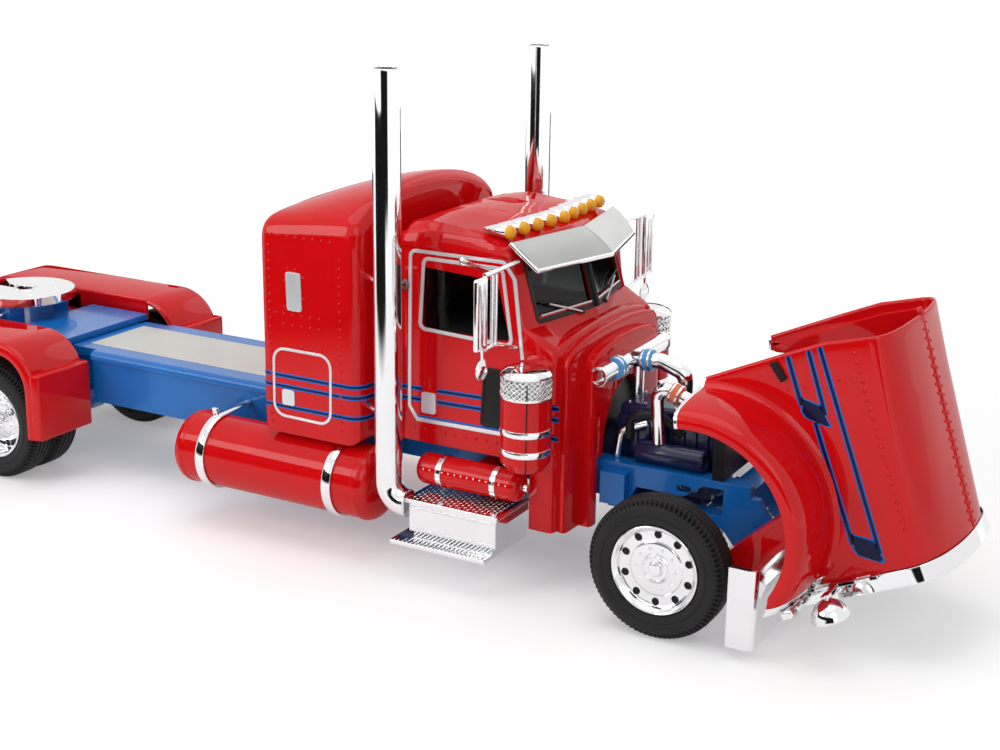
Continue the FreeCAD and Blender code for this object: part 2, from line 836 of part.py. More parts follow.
def cab_body(offset):
    """The solid outline of the cab, drawn in from its outside by an offset."""
    half = cab_half_width - offset
    rear = cab_rear + offset
    front = cowl_front - offset
    brow_z = glass_base_z + brow_height - offset
    brow_x = glass_x(0, brow_z) - offset
    cowl_z = glass_base_z - cowl_drop - offset
    low_z = glass_base_z - offset
    outlines = []
    for x, top in ((rear, low_z), (glass_base_x, low_z), (front, cowl_z)):
        side = [(half, cab_floor + offset), (half, top), (cowl_crown_reach, top + cowl_crown)]
        points = [(-y, z) for y, z in side] + list(reversed(side))
        outlines.append(Part.makePolygon([V(x, y, z) for y, z in points + points[:1]]))
    lower = Part.makeLoft(outlines, True, True)
    lower = rounded(lower, cowl_round - offset, lambda e: along(e, V(0, 0, 1)) and e.CenterOfMass.x > front - 0.1)
    wires = []
    for z in (low_z - cowl_drop, cab_crown):
        side_x = glass_x(half, z) - offset
        middle_x = glass_x(0, z) - offset
        wires.append(Part.makePolygon([V(rear, -half, z), V(side_x, -half, z), V(middle_x, 0, z),
                                       V(side_x, half, z), V(rear, half, z), V(rear, -half, z)]))
    upper = Part.makeLoft(wires, True, True)
    crown = cab_crown - offset
    flat_x = cab_rear + roof_flat
    slope = (crown - brow_z) / (brow_x - flat_x)
    clip = side_prism([(rear, cab_floor + offset), (front, cab_floor + offset),
                       (front, brow_z - slope * (front - brow_x)), (flat_x, crown), (rear, crown - roof_rear_drop)],
                      -half, half)
    section = arch_body(cab_rear - cut_over, cowl_front + cut_over, half, cab_floor - cut_over, cab_side_top,
                        crown, cab_shoulder - offset)
    return fused([lower, upper]).common(clip).common(section)


def window_openings():
    """The tools that cut the windows: two doors, two windshield panes and the rear."""
    half = cab_half_width + cut_over
    door_top = belt_z + door_glass_height
    door = side_prism([(door_rear_x, belt_z), (door_front_x, belt_z),
                       (door_front_x - door_lean * door_glass_height, door_top - pane_gap), (door_rear_x, door_top)],
                      -half, half)
    rear = box(cab_rear - cut_over, cab_rear + 2 * shell_wall, -rail_half_width, rail_half_width, belt_z,
               belt_z + pane_top)
    top_x = glass_base_x - glass_lean * pane_top - glass_point
    pane = box(top_x - shell_wall, glass_base_x + glass_point + cut_over, pane_gap, glass_base_half - pane_gap,
               glass_base_z + pane_rise, glass_base_z + pane_top)
    return [door, rear, pane, mirrored(pane)]


def cab_shell():
    """The hollow cab with its windows cut through the walls."""
    shell = cab_body(0.0).cut(cab_body(shell_wall))
    for tool in window_openings():
        shell = shell.cut(tool)
    return shell


def cab_glazing():
    """Clear panes that fill the windows, set in from the cab's outside."""
    panes = []
    skin = cab_body(glass_depth).cut(cab_body(shell_wall))
    for tool in window_openings():
        panes.extend(skin.common(tool).Solids)
    return Part.makeCompound(panes)


def cab_interior():
    """Floor pan, two seats, the dashboard and the steering wheel on its column."""
    inside = cab_half_width - shell_wall - hood_gap
    floor_z = cab_floor + shell_wall
    pan_top = floor_z + 1.0
    pan = box(cab_rear + shell_wall + hood_gap, cowl_front - 2 * shell_wall, -inside, inside, floor_z, pan_top)
    dash_x = glass_base_x - dash_set
    dash = box(dash_x, glass_base_x, -inside, inside, pan_top, belt_z - hood_gap)
    pieces = [pan, dash]
    for y in (-seat_y, seat_y):
        pieces.append(box(seat_rear, seat_front, y - seat_half, y + seat_half, pan_top, seat_top))
        pieces.append(box(seat_back_x, seat_back_x + seat_back_depth, y - seat_half, y + seat_half, pan_top,
                          seat_back_top))
    rim_centre = V(dash_x - steering_radius, seat_y, belt_z)
    column = rod(column_radius, V(dash_x + column_radius, seat_y, belt_z - steering_radius), rim_centre)
    rim = Part.makeCylinder(steering_radius, column_radius, rim_centre, V(-1, 0, 1))
    pieces.extend([column, rim])
    return fused(pieces)


def cowl():
    """The cowl below the windshield: side skirts, the ribbed seat for the hood and its arched opening."""
    seat = side_prism([(cowl_front, cab_floor), (cowl_seat_low_x, cab_floor), (cowl_seat_mid_x, cowl_seat_mid_z),
                       (cowl_front + 0.3, cowl_seat_top - 1.0), (cowl_front, cowl_seat_top)],
                      -cowl_seat_half, cowl_seat_half)
    bay = front_prism(bay_outline(0.0), cowl_front, cowl_seat_low_x + cut_over)
    skirt = box(cowl_skirt_rear, cowl_front, bay_inner_y, cab_half_width, cowl_skirt_z, cab_floor)
    wing = box(cowl_front, cowl_seat_low_x, bay_inner_y, cowl_seat_half, cowl_skirt_z, cab_floor)
    side = fused([skirt, wing])
    side = rounded(side, cowl_corner, lambda e: along(e, V(0, 0, 1)) and e.CenterOfMass.x > cowl_front - 0.1
                   and e.CenterOfMass.y > cowl_seat_half - 0.1 and e.Length > cab_floor - cowl_skirt_z - 0.1)
    return fused([seat.cut(bay), side, mirrored(side)])


def visor():
    """The creased sun visor above the windshield."""
    low_x = visor_top_x + visor_reach
    low_z = visor_top_z - visor_drop
    half = visor_half_width
    upper_rear = V(visor_top_x, -half, visor_top_z)
    lower_rear = V(low_x, -half + visor_taper, low_z)
    upper_mid = V(visor_top_x + visor_top_point, 0, visor_top_z)
    lower_mid = V(low_x + visor_low_point, 0, low_z)
    wire = Part.makePolygon([upper_rear, lower_rear, lower_mid, upper_mid, upper_rear])
    leaf = Part.makeFilledFace(wire.Edges).extrude(V(0.2, 0, 1).normalize() * visor_wall)
    return fused([leaf, mirrored(leaf)]).cut(cab_body(0.0))


def lamp_places():
    """The front points of the roof lamps, in a shallow arc across the cab."""
    step = 2 * lamp_half_span / (lamp_count - 1)
    places = []
    for index in range(lamp_count):
        y = -lamp_half_span + index * step
        back = lamp_sweep * abs(y) / lamp_half_span
        places.append(V(lamp_front_x - back, y, lamp_row_z))
    return places


def marker_lamps():
    """The row of bullet-shaped lamp bodies, seated on the roof's brow."""
    cab = cab_body(0.0)
    stations = [(-lamp_length, lamp_tail), (-lamp_length / 2, lamp_radius * 0.85), (0, lamp_radius)]
    return Part.makeCompound([turned(stations, place, "X", lamp_flats).cut(cab) for place in lamp_places()])


def marker_lenses():
    """The amber ball at the front of each lamp."""
    cab = cab_body(0.0)
    stations = [(seat_gap, lamp_radius * 0.95), (lamp_radius * 0.55, lamp_radius * 0.8),
                (lamp_radius, lamp_radius * 0.3)]
    return Part.makeCompound([turned(stations, place, "X", lamp_flats).cut(cab) for place in lamp_places()])


def exhaust_stack():
    """One straight stack, its open top, the elbow at its foot and its two clips to the sleeper."""
    top = V(stack_x, -stack_y, stack_top)
    foot = [top, V(stack_x, -stack_y, elbow_z), V(step_rear - step_lid_over - seat_gap, -stack_y, elbow_z)]
    outside = pipe(foot, stack_radius, stack_bend)
    clips = [rod(stack_clip_radius, V(stack_x, -stack_y, z), V(sleeper_front - shell_wall, -sleeper_half_width + shell_wall
                                                               + sleeper_corner, z))
             for z in (stack_clip_low, stack_clip_high)]
    sleeper = box(sleeper_rear, sleeper_front + seat_gap, -sleeper_half_width, 0, sleeper_floor, sleeper_crown)
    bore = Part.makeCylinder(stack_radius - stack_wall, stack_bore, V(stack_x, -stack_y, stack_top - stack_bore))
    return fused([outside] + [clip.cut(sleeper) for clip in clips]).cut(bore)


def cleaner_room():
    """The space that the cab's side leaves free behind an air cleaner."""
    return box(cab_rear, cowl_front, -cab_half_width - seat_gap, 0, 0, cab_side_top)


def air_cleaner():
    """One air cleaner can with a domed foot."""
    base = cleaner_top - cleaner_cap_height
    foot = Part.makeCone(cleaner_foot_radius, cleaner_radius, cleaner_foot, V(cleaner_x, -cleaner_y, cleaner_bottom))
    can = Part.makeCylinder(cleaner_radius, base - cleaner_bottom - cleaner_foot,
                            V(cleaner_x, -cleaner_y, cleaner_bottom + cleaner_foot))
    return fused([foot, can]).cut(cleaner_room())


def air_cleaner_cap():
    """The meshed intake ring and domed lid of one air cleaner."""
    base = cleaner_top - cleaner_cap_height
    ring_top = cleaner_top - cleaner_lid
    mesh = Part.makeCylinder(cleaner_radius + 0.1, ring_top - base, V(cleaner_x, -cleaner_y, base))
    lid = Part.makeCone(cleaner_radius + 0.1, cleaner_foot_radius, cleaner_lid, V(cleaner_x, -cleaner_y, ring_top))
    return fused([mesh, lid]).cut(cleaner_room())


def mirror():
    """One west-coast mirror on its post and arms, with a round glass under it."""
    plate_inner = -mirror_outer + mirror_width
    plate = box(mirror_x - mirror_thickness / 2, mirror_x + mirror_thickness / 2, -mirror_outer, plate_inner,
                mirror_bottom, mirror_top)
    pieces = [plate]
    for z in (mirror_bottom + mirror_arm_radius, mirror_top - mirror_arm_radius):
        pieces.append(rod(mirror_arm_radius, V(mirror_x, plate_inner - mirror_arm_radius, z),
                          V(mirror_x - mirror_arm_back, -cab_half_width + shell_wall, z)))
    pieces.append(rod(mirror_arm_radius, V(mirror_x, -mirror_post_y, mirror_bottom),
                      V(mirror_x, -mirror_post_y, mirror_top)))
    spot_z = mirror_bottom - spot_drop
    pieces.append(Part.makeCylinder(spot_radius, mirror_thickness,
                                    V(mirror_x - mirror_thickness / 2, plate_inner - spot_radius, spot_z), V(1, 0, 0)))
    pieces.append(box(mirror_x - mirror_arm_radius, mirror_x + mirror_arm_radius, plate_inner - spot_radius
                      - mirror_arm_radius, plate_inner - spot_radius + mirror_arm_radius, spot_z, mirror_bottom))
    return fused(pieces).cut(cab_body(0.0))


def deck_cover():
    """The cover over the frame behind the sleeper, with its side skirts."""
    low = deck_top - deck_thickness
    front = sleeper_rear - seat_gap
    wide = box(deck_step, front, -deck_half_width, deck_half_width, low, deck_top)
    wide = rounded(wide, deck_round, lambda e: along(e, V(1, 0, 0)) and e.CenterOfMass.z > deck_top - 0.1)
    neck = box(deck_rear, deck_step, -deck_neck_half_width, deck_neck_half_width, low, deck_top)
    bed = box(deck_rear, front, -rail_half_width, rail_half_width, rail_top, low)
    skirt_outer = deck_half_width - skirt_inset
    skirt = box(deck_step, front, skirt_outer - skirt_wall, skirt_outer, skirt_bottom, low)
    tray = box(deck_rear + deck_insert_set, sleeper_rear + cut_over, -deck_insert_half, deck_insert_half,
               deck_top - deck_insert_rise, deck_top + cut_over)
    return fused([wide, neck, bed, skirt, mirrored(skirt)]).cut(tray)


def deck_insert():
    """The pale plate let into the deck."""
    return box(deck_rear + deck_insert_set, sleeper_rear - seat_gap, -deck_insert_half, deck_insert_half,
               deck_top - deck_insert_rise, deck_top + seat_gap)


def coupling_plate():
    """The raised plate between the deck and the fifth wheel."""
    foot = box(plate_rear, plate_front, -rail_half_width, rail_half_width, rail_top, deck_top)
    plate = box(plate_rear, plate_front, -plate_half_width, plate_half_width, deck_top,
                deck_top + plate_thickness)
    return fused([foot, plate])


def fifth_wheel_pedestal():
    """The block that carries the fifth wheel on the frame."""
    base_top = rail_top + pedestal_base
    base = box(fifth_wheel_x - fifth_wheel_radius, plate_rear - seat_gap, -rail_half_width, rail_half_width,
               rail_top, base_top)
    left = box(fifth_wheel_x - pedestal_half_length, fifth_wheel_x + pedestal_half_length, pedestal_inner,
               pedestal_inner + pedestal_width, base_top, fifth_wheel_top - fifth_wheel_thickness)
    return fused([base, left, mirrored(left)])


def fifth_wheel():
    """The coupling plate with its throat and kingpin bore."""
    low = fifth_wheel_top - fifth_wheel_thickness
    plate = Part.makeCylinder(fifth_wheel_radius, fifth_wheel_thickness, V(fifth_wheel_x, 0, low))
    neck_x = fifth_wheel_x - throat_neck
    mouth_x = fifth_wheel_x - fifth_wheel_radius - cut_over
    throat = plan_prism([(fifth_wheel_x, -throat_half_width), (neck_x, -throat_half_width),
                         (mouth_x, -throat_mouth_half), (mouth_x, throat_mouth_half),
                         (neck_x, throat_half_width), (fifth_wheel_x, throat_half_width)],
                        low - cut_over, fifth_wheel_top + cut_over)
    bore = Part.makeCylinder(kingpin_radius, fifth_wheel_thickness + 2 * cut_over,
                             V(fifth_wheel_x, 0, low - cut_over))
    return plate.cut(throat).cut(bore)


def fender_block(inset, y0, y1, foot):
    """The long rear fender's rounded side outline as a solid, drawn in by an inset."""
    first, last = drive_stations()
    top = rear_fender_top - inset
    block = box(last - rear_fender_reach + inset, first + rear_fender_reach - inset, y0, y1, foot, top)
    return rounded(block, rear_fender_round - inset,
                   lambda e: along(e, V(0, 1, 0)) and e.CenterOfMass.z > top - 0.1)


def rear_fender():
    """One long fender over both rear axles, with the flat panel at its front."""
    first, last = drive_stations()
    wall = rear_fender_wall
    outer = -rear_fender_outer
    inner = -rear_fender_inner
    foot = rear_fender_foot
    outside = fender_block(0.0, outer, inner, foot)
    inside = fender_block(wall, outer + wall, inner + cut_over, foot - cut_over)
    opening = fender_block(rear_fender_lip, outer - cut_over, outer + wall + cut_over, foot - cut_over)
    front = first + rear_fender_reach
    panel = box(front - wall, rear_panel_x, outer, inner, foot, rear_panel_top)
    middle = (first + last) / 2
    bracket_low = rail_top - rear_tongue_drop
    upright = box(middle - rear_bracket_half, middle + rear_bracket_half, inner - rear_bracket_width, inner,
                  bracket_low, rear_fender_top - wall)
    tongue = box(middle - rear_bracket_half, middle + rear_bracket_half, inner, -rail_half_width, bracket_low,
                 bracket_low + rear_tongue)
    return fused([outside.cut(inside).cut(opening), panel, upright, tongue])


def tank_body(rear, front, radius, end_depth, end_round, y, z):
    """A round tank lying along X, its ends drawn in by a slope and closed by a flat."""
    points = [(rear, 0), (rear, radius - end_round), (rear + end_depth, radius), (front - end_depth, radius),
              (front, radius - end_round), (front, 0)]
    return revolved_x(points, y, z)


def fuel_tank():
    """One round fuel tank with domed ends, and its hangers to the frame."""
    tank = tank_body(fuel_tank_rear, fuel_tank_front, fuel_tank_radius, tank_end_depth, tank_end_round,
                     -fuel_tank_y, fuel_tank_z)
    hangers = []
    for x in strap_stations():
        carrier = deck_half_width - skirt_inset if x < sleeper_rear else rail_half_width
        hangers.append(box(x - hanger_half, x + hanger_half, -deck_half_width - hanger_reach, -carrier, hanger_low,
                           hanger_low + hanger_height))
    return fused([tank] + hangers)


def strap_stations():
    """Stations of the two straps round a fuel tank."""
    return [fuel_tank_rear + strap_rear_inset, fuel_tank_front - strap_front_inset]


def tank_strap(x):
    """One chrome strap round the outer side of a fuel tank."""
    start = V(x - strap_width / 2, -fuel_tank_y, fuel_tank_z)
    outer = Part.makeCylinder(fuel_tank_radius + strap_rise, strap_width, start, V(1, 0, 0))
    inner = Part.makeCylinder(fuel_tank_radius, strap_width + 2 * cut_over, start.sub(V(cut_over, 0, 0)), V(1, 0, 0))
    inboard = box(x - strap_width, x + strap_width, -fuel_tank_y + fuel_tank_radius / 2, 0, 0, rail_top * 2)
    return outer.cut(inner).cut(inboard)


def tank_straps():
    """The four tank straps."""
    return both_sides(Part.makeCompound([tank_strap(x) for x in strap_stations()]))


def air_tank():
    """One small air tank under the cab with its hanger."""
    tank = tank_body(air_tank_rear, air_tank_front, air_tank_radius, air_end_depth, air_end_round,
                     -air_tank_y, air_tank_z)
    middle = (air_tank_rear + air_tank_front) / 2
    hanger = box(middle - air_hanger_width / 2, middle + air_hanger_width / 2, -air_tank_y + air_tank_radius / 2,
                 -rail_half_width, air_tank_z - air_hanger_half, air_tank_z + air_hanger_half)
    return fused([tank, hanger])


def step_box():
    """One battery box that is also the cab step: box, lid that stands over, and the lower step plate."""
    body = box(step_rear, step_front, -step_outer, -step_inner, step_bottom, step_top - step_lid)
    lid = box(step_rear - step_lid_over, step_front + step_lid_over, -step_outer - step_lid_over, -step_inner,
              step_top - step_lid, step_top)
    shelf_top = lower_step_z + lower_step_thick
    shelf = box(lower_step_rear, lower_step_front, -lower_step_outer, -step_inner, lower_step_z, shelf_top)
    riser = box(step_rear, lower_step_front, -step_outer + cut_over, -step_inner, shelf_top, step_bottom)
    hanger = box(step_rear + step_hanger_inset, step_front - step_hanger_inset, -step_inner, -rail_half_width,
                 step_bottom, rail_low + step_lid)
    return fused([body, lid, shelf, riser, hanger])


def hood_outline(inset, bottom, x):
    """The hood's closed YZ outline at a station: upright sides, shoulders and a ridged top."""
    share = (x - hood_rear) / (hood_front - hood_rear)
    top = hood_top_rear + share * (hood_top_front - hood_top_rear) - inset
    half = hood_half - inset
    crown = hood_half - hood_crown_reach
    side = [(half, bottom), (half, top - hood_shoulder_drop), (crown, top - hood_crown_drop)]
    points = [(-y, z) for y, z in side] + [(0, top)] + list(reversed(side))
    points.append(points[0])
    return Part.makePolygon([V(x, y, z) for y, z in points])


def hood_body(inset, x0, x1, bottom):
    """The hood's top and sides as a solid between two stations, its long edges rounded."""
    body = Part.makeLoft([hood_outline(inset, bottom, x0), hood_outline(inset, bottom, x1)], True, True)

    def long_edge(edge):
        """Whether an edge runs the hood's length above its sides' foot."""
        return edge.BoundBox.XLength > 0.9 * (x1 - x0) and edge.CenterOfMass.z > bottom + 1.0

    def shoulder_edge(edge):
        """Whether a long edge is one of the two shoulders."""
        return long_edge(edge) and abs(edge.CenterOfMass.y) > hood_half - inset - 0.1

    body = rounded(body, hood_shoulder - inset / 2, shoulder_edge)
    return rounded(body, hood_crown_round, lambda e: long_edge(e) and abs(e.CenterOfMass.y) < hood_half
                   - hood_crown_reach + 0.1)


def fender_sweep(start_deg, end_deg):
    """The right fender's rounded section turned about the fender's centre between two angles."""
    wall = fender_wall
    outer = -fender_outer
    inner = -hood_half + hood_wall - inner_overlap
    band = fender_lip_radius + fender_band
    section = [(fender_lip_radius, outer), (band, outer), (fender_ridge_radius, outer + 1.3),
               (fender_crown_radius - 0.4, outer + 3.6), (fender_crown_radius, outer + 6.6),
               (fender_crown_radius, inner), (fender_crown_radius - wall, inner),
               (fender_crown_radius - wall, outer + 6.4), (fender_crown_radius - wall - 0.4, outer + 3.8),
               (fender_ridge_radius - wall, outer + 1.9), (fender_lip_radius, outer + wall)]
    angle = math.radians(start_deg)
    points = [V(fender_x + r * math.cos(angle), y, fender_z + r * math.sin(angle)) for r, y in section]
    wire = Part.makePolygon(points + points[:1])
    return Part.Face(wire).revolve(V(fender_x, 0, fender_z), V(0, 1, 0), start_deg - end_deg)


def bumper_room():
    """The space about the hinge that the hood leaves free for the bumper's top edge."""
    radius = math.hypot(bumper_front - hinge_x, bumper_top - hinge_z) + hood_gap
    return across(radius, hinge_x, hinge_z, -2 * fender_outer, 2 * fender_outer)


def front_fender():
    """One front fender, square at its front and cut free of the bumper."""
    sweep = fender_sweep(fender_rear_deg, fender_front_deg)
    ahead = box(fender_front_x, 2 * hood_front, -2 * fender_outer, 0, 0, hood_top_rear)
    return sweep.cut(ahead).cut(bumper_room())


def fender_trims():
    """The chrome strips along the rear and front edges of both fenders."""
    gap = seat_gap
    rear = fender_sweep(fender_rear_deg + fender_trim_deg, fender_rear_deg)
    rear.translate(V(-gap, 0, 0))
    strip = box(fender_front_x + gap, fender_front_x + fender_trim, -2 * fender_outer, -hood_half - gap, 0,
                hood_top_rear)
    front = fender_sweep(fender_rear_deg - 90.0, fender_front_deg).common(strip).cut(bumper_room())
    rear = rear.cut(box(-2 * hood_front, 0, -hood_half - gap, 0, 0, hood_top_rear))
    return turned_open(both_sides(Part.makeCompound(rear.Solids + front.Solids)))


def turned_open(shape):
    """A hood piece drawn closed, turned about the hinge to its open place."""
    opened = shape.copy()
    opened.rotate(V(hinge_x, 0, hinge_z), V(0, 1, 0), hood_open_deg)
    return opened


def hood_shell():
    """The tilting hood with both front fenders, one casting."""
    over = 4.0
    skin = hood_body(0.0, hood_rear, hood_front, hood_side_bottom)
    inside = hood_body(hood_wall, hood_rear - over, hood_front + over, hood_side_bottom - over)
    arch = across(fender_crown_radius - fender_wall, fender_x, fender_z, -hood_half - cut_over,
                  hood_half + cut_over)
    sides = skin.cut(inside).cut(arch).cut(bumper_room())
    fender = front_fender()
    shell = fused([sides, fender, mirrored(fender)])
    return turned_open(max(shell.Solids, key=lambda solid: solid.Volume))


def grille_front():
    """Station of the grille surround's front face."""
    return hood_front + grille_depth


def grille_shell():
    """The chrome surround at the hood's front."""
    outer = hood_body(-grille_outset, hood_front + seat_gap, grille_front(), grille_bottom)
    inner = hood_body(grille_frame, hood_front - cut_over, grille_front() + cut_over, grille_bottom + grille_frame)
    return turned_open(outer.cut(inner))


def grille_bars():
    """The row of upright grille bars and the backing behind them."""
    half = hood_half - grille_frame - seat_gap
    low = grille_bottom + grille_frame + seat_gap
    back_x = hood_front + grille_back_set
    bar_x = back_x + grille_back
    pieces = [box(back_x, bar_x, -half, half, low, hood_top_rear)]
    for index in range(grille_bar_count):
        y = -half + (index + 0.5) * 2 * half / grille_bar_count
        pieces.append(box(bar_x, bar_x + grille_bar_depth, y - grille_bar_width / 2, y + grille_bar_width / 2,
                          low, hood_top_rear))
    inside = hood_body(grille_frame + seat_gap, hood_front, grille_front(), low)
    return turned_open(fused(pieces).common(inside))


def headlamp():
    """One round headlamp on its slotted side bracket, with the turn-signal bar below."""
    front_x = lamp_back_x + lamp_depth
    bowl = turned([(lamp_back_x, bowl_radius * 0.55), (lamp_back_x + 0.7, bowl_radius * 0.92),
                   (front_x - 0.3, bowl_radius), (front_x, bowl_radius * 0.93)],
                  V(0, -lamp_y, lamp_z), "X", housing_flats)
    inner = -hood_half - seat_gap
    outer = inner - bracket_width
    bracket_x = lamp_back_x - bracket_thick
    bracket = box(bracket_x, lamp_back_x, outer, inner, bracket_low, bracket_high)
    for z in (lamp_z - 2.2, lamp_z + 2.6):
        slot_y = (inner + outer) / 2
        bracket = bracket.cut(box(bracket_x - cut_over, lamp_back_x + cut_over, slot_y - slot_width / 2,
                                  slot_y + slot_width / 2, z, z + slot_height))
    arm = box(lamp_back_x - 2 * arm_half, lamp_back_x, -lamp_y, outer, lamp_z - arm_half, lamp_z + arm_half)
    signal = box(bracket_x, bracket_x + signal_depth, -signal_outer, inner - grille_outset, signal_low, signal_high)
    return fused([bowl, bracket, arm, signal])


def headlamps():
    """Both headlamps with their brackets."""
    return turned_open(both_sides(headlamp()))


def hood_latches():
    """The two black straps that hook the hood's rear corners to the cowl."""
    outer = -hood_half - latch_proud
    strap = box(cowl_front + hood_gap, latch_front, outer, -hood_half - seat_gap, latch_z, latch_z + latch_height)
    return turned_open(both_sides(strap))


def hinge_arm_outer():
    """Distance of a hinge arm's outer side from the centre plane."""
    return rail_half_width - hinge_ear - hinge_arm_inset


def hood_hinge():
    """The hinge pin and the two arms that carry the hood on it."""
    half = hinge_arm_outer()
    reach = rail_half_width + hinge_pin_proud
    pin = across(hinge_pin_radius, hinge_x, hinge_z, -reach, reach)
    side = hinge_arm_half
    arm = side_prism([(hinge_x - side, hinge_z - side), (hinge_x + side, hinge_z - side),
                      (grille_front(), grille_bottom), (hood_front, grille_bottom),
                      (hinge_x - side, hinge_z + side)], -half, -half + hinge_arm_width)
    return turned_open(fused([pin, arm, mirrored(arm)]))


def tyre(x, outer_y):
    """One tyre whose outer side is at outer_y on the right side."""
    inner_y = outer_y + tyre_section
    low = tyre_radius - tyre_shoulder_drop
    centre = V(x, 0, tyre_radius)
    body = turned([(outer_y, low), (outer_y + tyre_shoulder_width, tyre_radius),
                   (inner_y - tyre_shoulder_width, tyre_radius), (inner_y, low)], centre, "Y", wheel_flats)
    bead = rim_radius + seat_gap
    bore = turned([(outer_y - cut_over, bead), (inner_y + cut_over, bead)], centre, "Y", wheel_flats)
    return body.cut(bore)


def wheel(x, dish, hub_reach, inner):
    """One wheel, right side: a rim, the disc set in by the dish, its hand holes and its hub."""
    rim_outer = -wheel_track_outer + rim_inset
    face = -wheel_track_outer + dish
    back = face + disc_thickness
    centre = V(x, 0, tyre_radius)
    mouth = rim_radius - rim_lip
    throat = rim_radius - rim_taper
    rim = turned([(rim_outer, rim_radius), (inner, rim_radius)], centre, "Y", wheel_flats)
    front_room = turned([(rim_outer, mouth), (face, throat)], centre, "Y", wheel_flats)
    back_room = turned([(back, throat), (inner, mouth)], centre, "Y", wheel_flats)
    hub = turned([(face - hub_reach, hub_radius), (back, hub_radius)], centre, "Y", wheel_flats // 2)
    bore = turned([(face - hub_reach - cut_over, axle_radius + seat_gap), (back + cut_over, axle_radius + seat_gap)],
                  centre, "Y", wheel_flats // 2)
    whole = fused([rim.cut(front_room).cut(back_room), hub]).cut(bore)
    return whole.cut(hand_hole_tools(x, face - cut_over, back + cut_over))


def hand_hole_tools(x, y0, y1):
    """Cutters for the ring of hand holes."""
    tools = []
    for index in range(hand_holes):
        angle = 2 * math.pi * (index + 0.5) / hand_holes
        centre = V(x + hand_hole_circle * math.cos(angle), 0, tyre_radius + hand_hole_circle * math.sin(angle))
        tools.append(turned([(y0, hand_hole_radius), (y1, hand_hole_radius)], centre, "Y", hole_flats))
    return Part.makeCompound(tools)


def front_wheel():
    """One front wheel, its disc near the outer side."""
    return wheel(0, front_dish, front_hub_reach, -wheel_track_outer + tyre_section - rim_inset)


def rear_wheel(x):
    """One dual wheel: a rim for two tyres, with the disc set deep."""
    return wheel(x, rear_dish, rear_hub_reach, -dual_inner_face() - rim_inset)


def axle_pin(x, dish, hub_reach):
    """The steel pin that joins the two wheels of an axle."""
    half = wheel_track_outer - dish + hub_reach / 2
    return across(axle_radius, x, tyre_radius, -half, half)


def build_nodes():
    """All pieces by node name."""
    outer_y = -wheel_track_outer
    second_y = -wheel_track_outer + tyre_section + dual_gap
    nodes = {
        "frame_rails": frame_rails(),
        "front_suspension": front_suspension(),
        "rear_suspension": rear_suspension(),
        "drive_shaft": drive_shafts(),
        "engine_block": engine_block(),
        "radiator": radiator(),
        "firewall": firewall(),
        "intake_pipes": intake_pipes(),
        "intake_couplers": intake_couplers(),
        "charge_coupler": charge_coupler(),
        "bumper": bumper(),
        "sleeper_shell": sleeper_shell(),
        "cab_shell": cab_shell(),
        "cab_glazing": cab_glazing(),
        "cab_interior": cab_interior(),
        "cowl": cowl(),
        "sun_visor": visor(),
        "marker_lamps": marker_lamps(),
        "marker_lenses": marker_lenses(),
        "mirrors": both_sides(mirror()),
        "exhaust_stack_right": exhaust_stack(),
        "exhaust_stack_left": mirrored(exhaust_stack()),
        "air_cleaners": both_sides(air_cleaner()),
        "air_cleaner_caps": both_sides(air_cleaner_cap()),
        "deck_cover": deck_cover(),
        "deck_insert": deck_insert(),
        "coupling_plate": coupling_plate(),
        "fifth_wheel_pedestal": fifth_wheel_pedestal(),
        "fifth_wheel": fifth_wheel(),
        "rear_fender_right": rear_fender(),
        "rear_fender_left": mirrored(rear_fender()),
        "fuel_tank_right": fuel_tank(),
        "fuel_tank_left": mirrored(fuel_tank()),
        "tank_straps": tank_straps(),
        "air_tanks": both_sides(air_tank()),
        "step_box_right": step_box(),
        "step_box_left": mirrored(step_box()),
        "hood_shell": hood_shell(),
        "fender_trims": fender_trims(),
        "grille_shell": grille_shell(),
        "grille_bars": grille_bars(),
        "headlamps": headlamps(),
        "hood_latches": hood_latches(),
        "hood_hinge": hood_hinge(),
        "front_axle_pin": axle_pin(0, front_dish, front_hub_reach),
        "front_wheels": both_sides(front_wheel()),
        "front_tyres": both_sides(tyre(0, outer_y)),
    }
    for number, x in enumerate(drive_stations(), start=1):
        nodes[f"rear_axle_pin_{number}"] = axle_pin(x, rear_dish, rear_hub_reach)
        nodes[f"rear_wheels_{number}"] = both_sides(rear_wheel(x))
        pair = Part.makeCompound([tyre(x, outer_y), tyre(x, second_y)])
        nodes[f"rear_tyres_{number}"] = both_sides(pair)
    return nodes


def export(nodes):
    """Write each node to its own file, shifted to the part's origin."""
    os.makedirs("parts", exist_ok=True)
    for name, shape in nodes.items():
        placed = shape.copy()
        placed.translate(V(front_axle_x, 0, 0))
        if len(placed.Solids) == 1:
            placed = placed.Solids[0]
        placed.exportStep(os.path.join("parts", name + ".step"))


export(build_nodes())
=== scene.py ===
"""The looks of a small die-cast semi truck tractor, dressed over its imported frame.

Shapes are drawn in millimetres from the front axle, +X forward, +Y to the truck's left
and +Z up, and become metres in the frame's own place when a piece is finished. Pieces of
one side are drawn on the right, at negative Y, and mirrored. Pieces of the hood are drawn
closed and turned to its open place.
"""
from __future__ import annotations

import json
import logging
import math
from dataclasses import dataclass
from enum import Enum
from typing import Sequence

import bmesh
import bpy
from mathutils import Matrix, Vector


